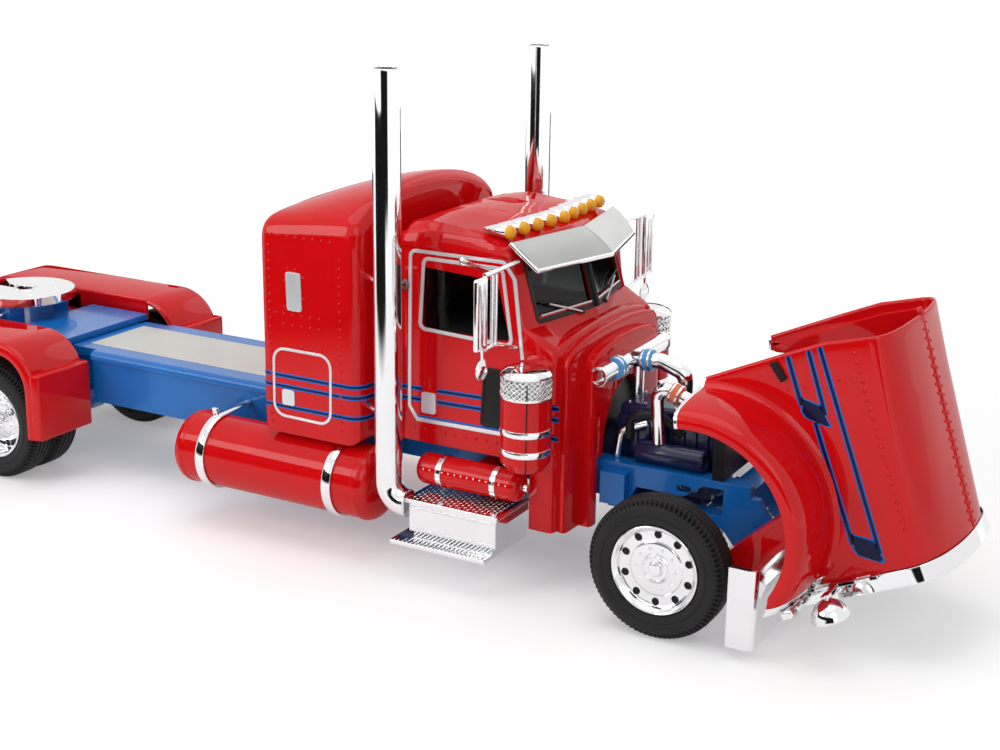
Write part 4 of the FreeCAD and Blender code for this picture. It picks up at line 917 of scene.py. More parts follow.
@dataclass
class Stacks:
    """The tall straight exhaust stacks with their elbows and clips."""

    x: float = -35.0
    y: float = -18.1
    radius: float = 1.65
    wall: float = 0.28
    lip: Flat = (0.08, 0.12)
    top: float = 60.9
    bore: float = 20.0
    elbow: Flat = (-32.2, 9.7)
    elbow_radius: float = 2.4
    clips: Flat = (20.0, 36.0)
    clip_end: Flat = (-40.4, -15.0)
    clip_radius: float = 0.45
    sides: int = 40

    def build(self) -> None:
        """Build both stacks."""
        x, y, (end_x, end_z), (draw_in, drop) = self.x, self.y, self.elbow, self.lip
        path = rounded_path([(x, y, self.top), (x, y, end_z), (end_x, y, end_z)],
                            self.elbow_radius, 10)
        top, inner = Vector((x, y, self.top)), self.radius - self.wall
        points = [top - Vector((0, 0, self.bore)), top, top, path[0] - Vector((0, 0, drop))]
        sizes = [inner, inner, self.radius - draw_in] + [self.radius] * len(path)
        for side in Side:
            form = self._pipe(points + path[1:], sizes)
            for z in self.clips:
                form.rod((x, y, z), (*self.clip_end, z), self.clip_radius)
            form.on(side).piece(f"stack_{side.value}", CHROME, [f"exhaust_stack_{side.value}"])

    def _pipe(self, points: Sequence[Vector], sizes: Sequence[float]) -> Form:
        """The pipe, which turns back on itself at the mouth.

        Args:
            points: The middle points of its rings, of which the first four are upright.
            sizes: The radius of each ring.

        Returns:
            The pipe's form.
        """
        rings = []
        across = Vector((0, 1, 0))
        for index, (point, size) in enumerate(zip(points, sizes)):
            way = Vector((0, 0, -1))
            if index > 3:
                way = (points[min(index + 1, len(points) - 1)] - points[index - 1]).normalized()
            other = way.cross(across).normalized()
            rings.append([point + (across * math.cos(a) + other * math.sin(a)) * size
                          for a in circle(self.sides)])
        return Form().loft(rings)


@dataclass
class AirCleaners:
    """The round air cleaners beside the cowl: domed lid, woven ring, straps and seam."""

    x: float = -17.4
    y: float = -16.5
    radius: float = 2.9
    top: float = 28.6
    ring: Flat = (25.3, 27.6)
    lid: tuple[Flat, ...] = ((0.0, 0.10), (0.28, 0.12), (0.55, -0.15), (0.85, -0.8))
    bead: tuple[Flat, ...] = ((-0.16, -0.2), (-0.16, 0.12), (0.06, 0.12), (0.06, -0.2))
    strap: tuple[Flat, ...] = ((-0.38, -0.1), (-0.38, 0.07), (-0.18, 0.12), (0.18, 0.12),
                               (0.38, 0.07), (0.38, -0.1))
    straps: Flat = (21.2, 18.8)
    wires: int = 26
    wire: float = 0.11
    twist: float = 0.95
    waves: int = 6
    seam_foot: float = 16.6
    seam_turn: float = -60.0

    def build(self) -> None:
        """Build the dress of both cleaners."""
        centre, r, (low, high) = (self.x, self.y, 0.0), self.radius, self.ring
        lid = Form().turned([(high, 0.0), *((high + up, r + out) for up, out in self.lid),
                             (self.top - 0.06, r - 1.6), (self.top, 0.0)], centre, Axis.Z, 56)
        for z, section in ((low, self.bead), *((z, self.strap) for z in self.straps)):
            lid.turned([(z + up, r + out) for up, out in section], centre, Axis.Z, 56)
        lid.both().piece("cleaner_lids_and_straps", CHROME, ["air_cleaner_caps"])
        core = Form().turned([(low, 0.0), (low, r - 0.16), (high, r - 0.16), (high, 0.0)], centre,
                             Axis.Z, 40)
        core.both().piece("cleaner_cores", SATIN)
        self._weave()
        angle = math.radians(self.seam_turn)
        out = Vector((math.cos(angle), math.sin(angle), 0))
        foot = Vector((self.x, self.y, self.seam_foot)) + out * (r - 0.02)
        head = foot + Vector((0, 0, high - self.seam_foot - 0.3)) + out * 0.05
        Form().rod(foot, head, 0.08, 6).both().piece("cleaner_seams", BLACK)

    def _weave(self) -> None:
        """Build the woven rings: wires of both hands that pass over and under."""
        mesh = Form()
        low, high = self.ring
        for turn in circle(self.wires):
            for hand in (-1, 1):
                path = []
                for share in (step / self.waves for step in range(self.waves + 1)):
                    angle = turn + hand * share * self.twist
                    wave = hand * math.cos(share * self.waves * math.pi)
                    reach = self.radius - 0.06 + 0.07 * wave
                    path.append((self.x + reach * math.cos(angle), self.y + reach * math.sin(angle),
                                 low + share * (high - low)))
                mesh.sweep(path, self.wire, 4)
        mesh.both().piece("cleaner_woven_rings", CHROME)


@dataclass
class RoofLamps:
    """The row of nine bullet lamps on the roof's brow."""

    count: int = 9
    half_span: float = 11.5
    front_x: float = -21.8
    sweep_back: float = 1.0
    z: float = 42.6
    radius: float = 0.86
    body: tuple[Flat, ...] = ((0.05, 0.0), (0.05, 0.8), (0.0, 0.97), (-0.25, 1.0), (-1.0, 0.93),
                              (-1.8, 0.72), (-2.5, 0.45), (-3.3, 0.16), (-3.35, 0.0))
    lens: tuple[Flat, ...] = ((0.0, 0.0), (0.0, 0.93), (0.30, 0.95), (0.62, 0.84), (0.86, 0.5),
                              (0.95, 0.0))

    def build(self) -> None:
        """Build the lamp bodies and their lenses."""
        bodies, lenses = Form(), Form()
        for y in row(-self.half_span, 2 * self.half_span / (self.count - 1), self.count):
            x = self.front_x - self.sweep_back * abs(y) / self.half_span
            for form, profile, z, sides in ((bodies, self.body, self.z, 20),
                                            (lenses, self.lens, self.z - 0.05, 18)):
                form.turned([(along, share * self.radius) for along, share in profile], (x, y, z),
                            Axis.X, sides)
        bodies.piece("roof_lamp_bodies", CHROME, ["marker_lamps"], smooth_deg=60)
        lenses.piece("roof_lamp_lenses", AMBER, ["marker_lenses"], smooth_deg=70)


@dataclass
class Visor:
    """The drooping two-leaf sun visor."""

    half: float = 13.3
    top_x: float = -21.65
    top_z: float = 41.5
    reach: float = 3.3
    drop: float = 2.9
    top_point: float = 2.45
    low_point: float = 3.2
    taper: float = 0.6
    wall: float = 0.4
    bulge: float = 0.22
    rows: int = 6
    front_edge: float = 0.27
    side_edge: float = 0.30

    def build(self) -> None:
        """Build the visor and its bright edge."""
        low_x, low_z = self.top_x + self.reach, self.top_z - self.drop
        outer_top = Vector((self.top_x, -self.half, self.top_z))
        outer_low = Vector((low_x, -self.half + self.taper, low_z))
        mid_top = Vector((self.top_x + self.top_point, 0, self.top_z))
        mid_low = Vector((low_x + self.low_point, 0, low_z))
        normal = (mid_low - outer_low).cross(outer_top - outer_low).normalized()
        normal *= math.copysign(1.0, normal.z)
        thick = normal * self.wall
        rings = []
        for share in (index / self.rows for index in range(self.rows + 1)):
            bulge = normal * self.bulge * math.sin(math.pi * share)
            a = outer_top.lerp(outer_low, share) + bulge
            b = mid_top.lerp(mid_low, share) + bulge
            rings.append([a, b, b + thick, a + thick])
        leaf = Form().loft(rings)
        leaf.both().piece("visor_leaves", SATIN, ["sun_visor"], smooth_deg=25)
        lift = thick / 2
        edge = Form().rod(outer_low + lift, mid_low + lift, self.front_edge, 8)
        edge.rod(outer_top + lift, outer_low + lift, self.side_edge, 8)
        edge.both().piece("visor_edges", CHROME)


@dataclass
class Mirrors:
    """The west-coast mirrors on their tube loops, with the round glasses below."""

    x: float = -20.3
    outer: float = -23.15
    inner: float = -20.75
    low: float = 31.3
    high: float = 39.5
    post_y: float = -19.0
    wall_y: float = -13.3
    tube: float = 0.26
    brace: Place = (-27.6, -13.5, 38.9)
    spot: Flat = (-21.5, 28.95)
    spot_radius: float = 1.2

    def build(self) -> None:
        """Build both mirrors."""
        x, outer, inner, low, high = self.x, self.outer, self.inner, self.low, self.high
        form = Form().block((x - 0.34, outer, low), (x + 0.30, inner, high), 0.28, 3)
        for y in (outer + 0.5, inner - 0.95):
            form.block((x + 0.22, y, low + 0.5), (x + 0.46, y + 0.45, high - 0.5), 0.12, 2)
        for z, wall_z, lean in ((high + 0.15, high + 0.25, -0.2), (low - 0.1, low - 1.7, 0.0)):
            form.sweep([(x, inner - 0.4, z), (x, self.post_y, z), (x + lean, self.wall_y, wall_z)],
                       self.tube, 10)
        form.rod((x, self.post_y, high), self.brace, self.tube * 0.9, 8)
        form.dome(self.brace, RIGHT_WAY, 0.6, 0.3, 12)
        for y in (self.post_y - 0.42, self.post_y + 0.42):
            form.rod((x, y, low - 0.1), (x, y, high + 0.15), self.tube * 0.85, 10)
        (y, z), r = self.spot, self.spot_radius
        form.turned([(-0.18, 0.0), (-0.18, r), (0.0, r + 0.08), (0.22, r * 0.8), (0.42, r * 0.4),
                     (0.46, 0.0)], (x, y, z), Axis.X, 28)
        form.rod((x, y, z + r), (x, inner - 0.8, low + 0.1), 0.2, 8)
        form.both().piece("mirror_frames", CHROME, ["mirrors"])
        glass = Form().block((x - 0.40, outer + 0.3, low + 0.3),
                             (x - 0.32, inner - 0.3, high - 0.3), 0.02, 1)
        glass.both().piece("mirror_glasses", MIRROR)


@dataclass
class StripeSet:
    """Painted stripes with a dark core on the right side, shown on both."""

    level: float
    width: float = 0.62
    core_width: float = 0.26
    proud: float = 0.02
    sunk: float = SUNK

    def __post_init__(self) -> None:
        """Start the two colours' forms."""
        self.edge, self.core = Form(), Form()
        self.back = self.level + self.sunk
        self.layers = ((self.edge, self.width, self.proud),
                       (self.core, self.core_width, self.proud * 2))

    def draw(self, points: Sequence[Flat]) -> None:
        """Add a stripe along a line of (x, z) points."""
        for form, width, proud in self.layers:
            form.stroke(points, width, self.back, self.level - proud)

    def fill(self, outline: Sequence[Flat], shares: Flat) -> None:
        """Add a painted block with a dark middle.

        Args:
            outline: The block's (x, z) corners.
            shares: The middle's shares of the block's length and height.
        """
        middle = [sum(point[k] for point in outline) / len(outline) for k in (0, 1)]
        inner = [tuple(m + (p - m) * share for m, p, share in zip(middle, point, shares))
                 for point in outline]
        for (form, _, proud), corners in zip(self.layers, (outline, inner)):
            form.plate(corners, Axis.Y, self.back, self.level - proud)

    def finish(self, name: str, on_hood: bool = False) -> None:
        """Finish both colours as pieces.

        Args:
            name: What the stripes are painted on.
            on_hood: Whether they move with the hood.
        """
        for form, part, paint in ((self.edge, "edges", STRIPE), (self.core, "cores", CORE)):
            finish = form.both().hood_piece if on_hood else form.both().piece
            finish(f"{name}_stripe_{part}", paint)


@dataclass
class Sleeper:
    """The sleeper's softly cast body, rivets, outlines, latches, window and stripes."""

    side: float = -16.6
    rear: float = -54.8
    front: float = -40.0
    floor: float = 14.7
    rear_roof: tuple[Flat, ...] = ((-16.6, 38.8), (-16.6, 41.0), (-15.5, 41.7), (-13.4, 41.9),
                                   (-9.0, 42.2), (-5.0, 42.4), (0.0, 42.4))
    front_roof: tuple[Flat, ...] = ((-16.6, 38.9), (-16.6, 41.5), (-16.2, 42.2), (-14.4, 43.3),
                                    (-11.4, 45.2), (-6.0, 45.9), (0.0, 45.9))
    rear_corner: float = 1.3
    corner: float = 2.0
    door: tuple[Flat, ...] = ((-52.75, 25.6), (-44.25, 25.6), (-44.4, 16.85), (-52.85, 17.0))
    window: tuple[Flat, ...] = ((-50.65, 35.4), (-48.45, 35.4), (-48.35, 30.6), (-50.5, 30.6))
    latch: tuple[Flat, ...] = ((-51.55, 20.45), (-49.7, 20.45), (-49.7, 18.45), (-51.55, 18.45))
    stripes: tuple[float, ...] = (22.15, 20.8, 18.2)
    rivet: float = 0.21
    rivet_height: float = 0.15
    rear_rivet_height: float = 0.07
    rivet_columns: tuple[tuple[float, float, float, int], ...] = (
        (-53.2, 16.0, 1.02, 23), (-42.85, 16.5, 1.06, 21))
    rivet_rows: tuple[tuple[float, float, float, int], ...] = (
        (39.75, -52.9, 1.26, 8), (30.1, -52.35, 1.3, 6), (28.8, -51.2, 1.34, 5),
        (26.2, -51.4, 1.42, 5))
    window_rivets: tuple[Flat, ...] = ((-50.4, 35.8), (-49.3, 35.75), (-48.1, 34.9), (-48.1, 32.3),
                                       (-50.9, 31.0), (-50.9, 34.2))

    def build(self) -> None:
        """Build the sleeper and everything on it."""
        turns = arc(math.pi / 2, 6)
        shares = (0.2, 0.3, 0.4, 0.5, 0.6, 0.7, 0.8)
        rows = [(self.rear + self.rear_corner * (1 - math.cos(a)),
                 self.rear_corner * (1 - math.sin(a))) for a in turns]
        rows += [(self.rear + (self.front - self.rear) * share, 0.0) for share in shares]
        rows += [(self.front - self.corner * (1 - math.cos(a)), self.corner * (1 - math.sin(a)))
                 for a in reversed(turns)]
        body = Form().loft([[Vector((x, y, z)) for y, z in inset(self._section(x), back)]
                            for x, back in rows])
        body.piece("sleeper_body", RED, ["sleeper_shell"], smooth_deg=40)
        self._rivets()
        silver, back = Form(), self.side + SUNK
        silver.stroke(flat_path(self.door, 1.6), 0.34, back, self.side - 0.10, closed=True)
        silver.plate(flat_path(self.window, 0.35), Axis.Y, back, self.side - 0.16)
        silver.plate(flat_path(self.latch, 0.3), Axis.Y, back, self.side - 0.18)
        silver.both().piece("sleeper_bright_trim", SILVER)
        stripes = StripeSet(self.side)
        for z in self.stripes:
            stripes.draw([(self.rear + self.rear_corner, z), (self.front - self.corner, z)])
            for form, width, proud in stripes.layers:
                self._corner_band(form, z, width, proud)
        stripes.finish("sleeper")

    def _section(self, station: float) -> list[Flat]:
        """The sleeper's outline at a station, whose roof rises forward.

        Args:
            station: The station.

        Returns:
            (y, z) points from the right foot over the roof to the left foot.
        """
        rise = math.sin(math.pi / 2 * (station - self.rear) / (self.front - self.rear))
        corners = [Vector(low).lerp(Vector(high), rise)
                   for low, high in zip(self.rear_roof, self.front_roof)]
        roof = bezier(corners[:4], 8) + bezier(corners[3:], 12)[1:]
        half = [(self.side, self.floor), *roof]
        return half + [(-y, z) for y, z in reversed(half[:-1])]

    def _corner_band(self, form: Form, z: float, width: float, proud: float) -> None:
        """Carry a stripe round the upright corners, onto the front, and a little onto the rear.

        Args:
            form: The form that takes it.
            z: The stripe's height.
            width: Its width.
            proud: How far it stands out.
        """
        foot, head = Vector((0, 0, -width / 2)), Vector((0, 0, width / 2))
        for x, sign, corner, run in ((self.front, 1.0, self.corner, 4.6),
                                     (self.rear, -1.0, self.rear_corner, 1.3)):
            centre = Vector((x - sign * corner, self.side + corner, z))
            ways = [Vector((sign * math.sin(a), -math.cos(a), 0)) for a in arc(math.pi / 2, 8)]
            points = [(centre + way * corner, way) for way in ways]
            points.append((points[-1][0] + Vector((0, run - corner, 0)), ways[-1]))
            form.loft([[p - n * SUNK + foot, p + n * proud + foot, p + n * proud + head,
                        p - n * SUNK + head] for p, n in points])

    def _rivets(self) -> None:
        """Build the rows of rivets."""
        form = Form()
        spots = [(x, z) for x, start, step, count in self.rivet_columns
                 for z in row(start, step, count)]
        spots += [(x, z) for z, start, step, count in self.rivet_rows
                  for x in row(start, step, count)]
        for x, z in (*spots, *self.window_rivets):
            form.dome((x, self.side, z), RIGHT_WAY, self.rivet, self.rivet_height)
        form.both()
        spots = [(y, 38.8) for y in row(-12.0, 1.5, 17)]
        spots += [(y, z) for y in (-12.6, 12.6) for z in row(17.0, 1.1, 20)]
        for y, z in spots:
            form.dome((self.rear, y, z), REAR_WAY, self.rivet, self.rear_rivet_height)
        form.piece("sleeper_rivets", RED, smooth_deg=60)


@dataclass
class Cab:
    """The cab's shell and cowl, door lines, windows, handle, stripes, rivets and wipers."""

    side: float = -13.5
    glass_base: Place = (-18.95, 11.65, 31.9)
    glass_point: float = 2.15
    glass_lean: float = 0.29
    rear: float = -36.6
    floor: float = 15.9
    gutter: float = 39.9
    lip: float = 0.28
    wall: float = 0.9
    corner: float = 1.3
    front: float = -15.2
    bow: float = 0.3
    ridge: tuple[Flat, ...] = ((-36.4, 41.2), (-31.0, 41.9), (-27.0, 41.8), (-22.2, 41.1),
                               (-19.8, 41.2))
    valley: tuple[Flat, ...] = ((-36.2, 41.9), (-31.0, 41.75), (-26.0, 41.6), (-22.5, 41.4),
                                (-20.3, 41.6))
    crease: tuple[Flat, ...] = ((-36.0, 42.3), (-32.6, 42.75), (-27.0, 42.3), (-23.4, 41.8),
                                (-20.8, 41.85))
    top: tuple[Flat, ...] = ((-35.4, 42.7), (-32.0, 43.25), (-27.0, 42.95), (-23.0, 42.3))
    crown: tuple[Flat, ...] = ((-34.0, 43.1), (-31.0, 43.4), (-27.0, 43.1), (-24.5, 42.7))
    door: tuple[Flat, ...] = ((-33.2, 30.1), (-33.2, 37.6), (-22.95, 37.1), (-21.25, 30.1))
    door_line: tuple[Flat, ...] = ((-33.9, 18.75), (-34.95, 20.3), (-34.75, 39.4), (-22.1, 39.45),
                                   (-20.75, 37.6), (-19.55, 28.3))
    window_line: tuple[Flat, ...] = ((-33.45, 30.1), (-32.9, 38.65), (-22.35, 38.65),
                                     (-20.95, 29.65))
    low_window: tuple[Flat, ...] = ((-24.5, 26.5), (-21.9, 26.5), (-21.9, 19.55), (-24.95, 19.55))
    handle: tuple[Flat, ...] = ((-33.15, 22.3), (-31.2, 22.3), (-31.2, 19.7), (-33.15, 19.7))
    sill: tuple[Flat, ...] = ((-34.0, 18.45), (-19.3, 18.62), (-19.3, 19.12), (-34.0, 18.92))
    pane: tuple[float, float, float, float] = (0.5, 11.1, 32.85, 39.65)
    rear_window: Place = (6.6, 29.8, 37.6)
    cowl_rows: tuple[Place, ...] = (
        (-18.5, 0.1, 0.1), (-16.0, 0.0, 0.0), (-15.6, 0.1, 0.08), (-15.35, 0.4, 0.3),
        (-15.2, 0.95, 0.6), (-15.05, 1.1, 0.65), (-14.9, 0.92, 0.5), (-14.7, 0.82, 0.42),
        (-14.35, 0.82, 0.42), (-14.15, 1.0, 0.55), (-14.02, 1.5, 0.9), (-13.95, 3.6, 1.5),
        (-13.9, 4.2, 1.75), (-13.75, 4.1, 1.6), (-12.75, 4.1, 1.6), (-12.5, 4.3, 1.8),
        (-12.4, 4.7, 2.2))
    cowl_half: float = 13.42
    cowl_foot: float = 7.6
    bay: Place = (6.5, 16.0, 24.2)
    rail_room: float = 7.8

    def build(self) -> None:
        """Build the cab's shell and everything on it."""
        self._shell()
        self._cowl()
        self._bright_lines()
        self._stripes()
        self._windshield()
        rivets, back = Form(), self.side + SUNK
        for x in row(-34.2, 1.42, 10) + row(-20.9, 1.4, 5):
            rivets.dome((x, self.side, 17.6), RIGHT_WAY, 0.21, 0.15)
        rivets.both().piece("cab_rivets", RED, smooth_deg=60)
        outline = flat_path(self.low_window, 0.4)
        pane = Form().plate(outline, Axis.Y, back, self.side - 0.06)
        pane.stroke(outline, 0.3, back, self.side - 0.14, closed=True)
        pane.both().piece("door_lower_windows", BLACK)
        lamp = Form().dome((-35.6, self.side, 35.1), RIGHT_WAY, 0.75, 0.5, 18)
        lamp.both().piece("cab_side_lamps", DARK_RED, smooth_deg=60)

    def _loop(self, half: float, rear: float, side_front: float, point: float,
              height: float | Sequence[Flat]) -> list[Vector]:
        """A closed line round the cab.

        Args:
            half: Its half width.
            rear: Its rear station.
            side_front: The station of its front corners.
            point: The station of its front on the middle line.
            height: Its height, or a table of heights by station.

        Returns:
            The line's points, the same number for every loop.
        """
        corners = [(rear, half), (rear, -half), (side_front, -half), (point, 0.0),
                   (side_front, half)]
        steps, splits = 5, 7
        line = flat_path(corners, self.corner, steps=steps)
        table = ((0.0, height),) if isinstance(height, float) else height
        spots = []
        for index, spot in enumerate(line):
            spots.append(Vector(spot))
            if index % (steps + 1) == steps:
                after = Vector(line[(index + 1) % len(line)])
                spots += [Vector(spot).lerp(after, k / splits) for k in range(1, splits)]
        return [Vector((spot.x, spot.y, level_at(spot.x, table))) for spot in spots]

    def _glass_x(self, y: float, z: float) -> float:
        """Station of the windshield's plane."""
        base_x, half, base_z = self.glass_base
        return base_x + self.glass_point * (1 - abs(y) / half) - self.glass_lean * (z - base_z)

    def _shell(self) -> None:
        """Build the hollow shell with its roof and windows."""
        half, rear, front, thin = -self.side, self.rear, self.front, self.wall
        at, base, high = self._glass_x, self.glass_base[2] - 0.1, self.gutter
        loops = [(half, rear, x, x + self.bow, z) for z, x in (
            (self.floor, front), (28.4, front), (29.4, front - 0.2), (30.1, front - 0.9))]
        loops += [(half, rear, at(half, z), at(0, z), z) for z in (base, high)]
        loops += [(half + self.lip, rear - 0.1, at(half, z) + self.lip, at(0, z) + self.lip, z)
                  for z in (high + 0.05, high + 0.6)]
        loops += [(13.45, -36.6, -22.15, -19.65, self.ridge),
                  (13.0, -36.4, -22.4, -19.9, self.ridge),
                  (12.4, -36.2, -22.8, -20.3, self.valley),
                  (11.6, -36.0, -23.2, -20.7, self.crease),
                  (11.2, -35.8, -23.5, -21.0, self.crease),
                  (7.5, -35.2, -25.0, -23.0, self.top), (3.5, -34.2, -26.0, -25.0, self.crown)]
        within = [(half - thin, rear + thin, x, x + self.bow, z) for z, x in (
            (self.floor + thin, front - thin), (28.4, front - thin), (29.2, front - 1.2))]
        within += [(half - thin, rear + thin, at(half, z) - thin, at(0, z) - thin, z)
                   for z in (base - 0.6, high + 0.5)]
        blank, inner = (Form().loft([self._loop(*loop) for loop in part])
                        for part in (loops, within))
        near, far, low, up = self.pane
        panes = [Form().block((-26, left, low), (-12, right, up))
                 for left, right in ((-far, -near), (near, far))]
        wide, sill, head = self.rear_window
        shell = cut_form(blank, inner, Form().plate(flat_path(self.door, 0.6), Axis.Y, -20, 20),
                         *panes, Form().block((rear - 2, -wide, sill), (rear + 2, wide, head)))
        shell.piece("cab_body", RED, ["cab_shell"], smooth_deg=38)

    def _cowl(self) -> None:
        """Build the ribbed cowl, its arched opening and its skirts."""
        w = self.cowl_half
        curve = bezier([(w, 27.3), (w, 29.0), (w - 0.7, 29.8), (w - 2.2, 30.2)], 8)
        curve += bezier([(w - 2.2, 30.2), (w - 5.0, 30.9), (4.5, 31.15), (0.0, 31.15)], 10)[1:]
        half = [(w, self.cowl_foot), (w, 14.0), (w, 21.0)] + curve
        outline = [(-y, z) for y, z in half] + list(reversed(half[:-1]))
        rings = [[Vector((x, y * (w - narrow) / w, z - drop * min(1.0, max(0.0, (z - 20) / 8))))
                  for y, z in outline] for x, narrow, drop in self.cowl_rows]
        wide, spring, crown = self.bay
        arch = [(wide * math.cos(a), spring + (crown - spring) * math.sin(a))
                for a in arc(math.pi, 32)]
        bay = Form().plate([(wide, 5.0)] + arch + [(-wide, 5.0)], Axis.X, -14.6, -8.0)
        room = Form().block((-25, -self.rail_room, 0), (-8, self.rail_room, self.floor))
        cowl = cut_form(Form().loft(rings), bay, room)
        cowl.piece("cowl_skin", RED, ["cowl"], smooth_deg=38)

    def _bright_lines(self) -> None:
        """Build the silver outlines, the sill strip and the handle."""
        form, level, back = Form(), self.side, self.side + SUNK
        form.stroke(flat_path(self.door_line, 0.8, closed=False), 0.42, back, level - 0.12)
        form.stroke(flat_path(self.window_line, 0.75), 0.42, back, level - 0.14, closed=True)
        form.plate(self.sill, Axis.Y, back, level - 0.14)
        form.plate(flat_path(self.handle, 0.3), Axis.Y, back, level - 0.28)
        form.both().piece("cab_bright_trim", SILVER)
        x, foot, head, reach = -36.0, 19.0, 27.5, level - 0.45
        path = rounded_path([(x, level + 0.1, foot), (x, reach, foot), (x, reach, head),
                             (x, level + 0.1, head)], 0.3, 4)
        Form().sweep(path, 0.17, 8).both().piece("cab_grab_rails", CHROME)

    def _stripes(self) -> None:
        """Build the stripes on the doors and the cowl's sides."""
        stripes = StripeSet(self.side)
        for z0, z1 in ((22.5, 22.82), (21.15, 21.4)):
            for ends in ((-36.3, -33.2), (-31.1, -25.0)):
                stripes.draw([(x, z0 + (z1 - z0) * (x + 36.3) / 11.3) for x in ends])
        stripes.edge.stroke([(-34.0, 19.1), (-19.3, 19.3)], 0.26, stripes.back, self.side - 0.03)
        for z in (23.1, 21.75, 19.4):
            stripes.draw([(-19.2, z), (-14.75, z)])
        stripes.finish("cab")

    def _glass_spot(self, y: float, z: float, out: float) -> Vector:
        """A point on the right pane's plane.

        Args:
            y: Its distance from the middle, negative on the right.
            z: Its height.
            out: How far it stands ahead of the cab's skin.

        Returns:
            The point.
        """
        lean = self.glass_point / self.glass_base[1]
        return Vector((self._glass_x(y, z) + out, y - out * lean, z))

    def _windshield(self) -> None:
        """Build the rubber surround, the bright line, the middle post and the wipers."""
        at = self._glass_spot
        rubber = Form()
        outline = flat_path([(-0.42, 32.35), (-11.0, 32.35), (-11.0, 39.6), (-0.42, 39.6)], 0.45)
        self._band(rubber, outline, 0.5, 0.10)
        rubber.both().rod(at(0, 32.2, 0.18), at(0, 40.0, 0.18), 0.34, 8)
        rubber.piece("windshield_rubber", BLACK)
        pivot = at(-3.0, 32.1, 0.35)
        bright = Form().rod(at(-0.9, 32.95, 0.16), at(-10.4, 32.95, 0.16), 0.13, 6)
        bright.rod(pivot, at(-8.6, 34.0, 0.3), 0.12, 6)
        bright.both().piece("windshield_bright_line", SILVER)
        blade = Form().rod(at(-5.0, 33.6, 0.2), at(-10.2, 34.4, 0.2), 0.13, 6)
        blade.dome(pivot - Vector((0.2, 0, 0)), (0.5, 0, 1), 0.4, 0.35, 10)
        blade.both().piece("wipers", BLACK)

    def _band(self, form: Form, outline: Sequence[Flat], width: float, proud: float) -> None:
        """Add a closed band on the right pane's plane.

        Args:
            form: The form that takes it.
            outline: The band's middle line, (y, z) points.
            width: Its width.
            proud: How far it stands out.
        """
        rings = []
        for index, spot in enumerate(outline):
            after = Vector(outline[(index + 1) % len(outline)])
            way = (after - Vector(outline[index - 1])).normalized()
            side = Vector((-way.y, way.x)) * width / 2
            left, right = Vector(spot) + side, Vector(spot) - side
            rings.append([self._glass_spot(*point, out) for point, out in (
                (left, -SUNK), (left, proud), (right, proud), (right, -SUNK))])
        form.loft(rings, around=True)


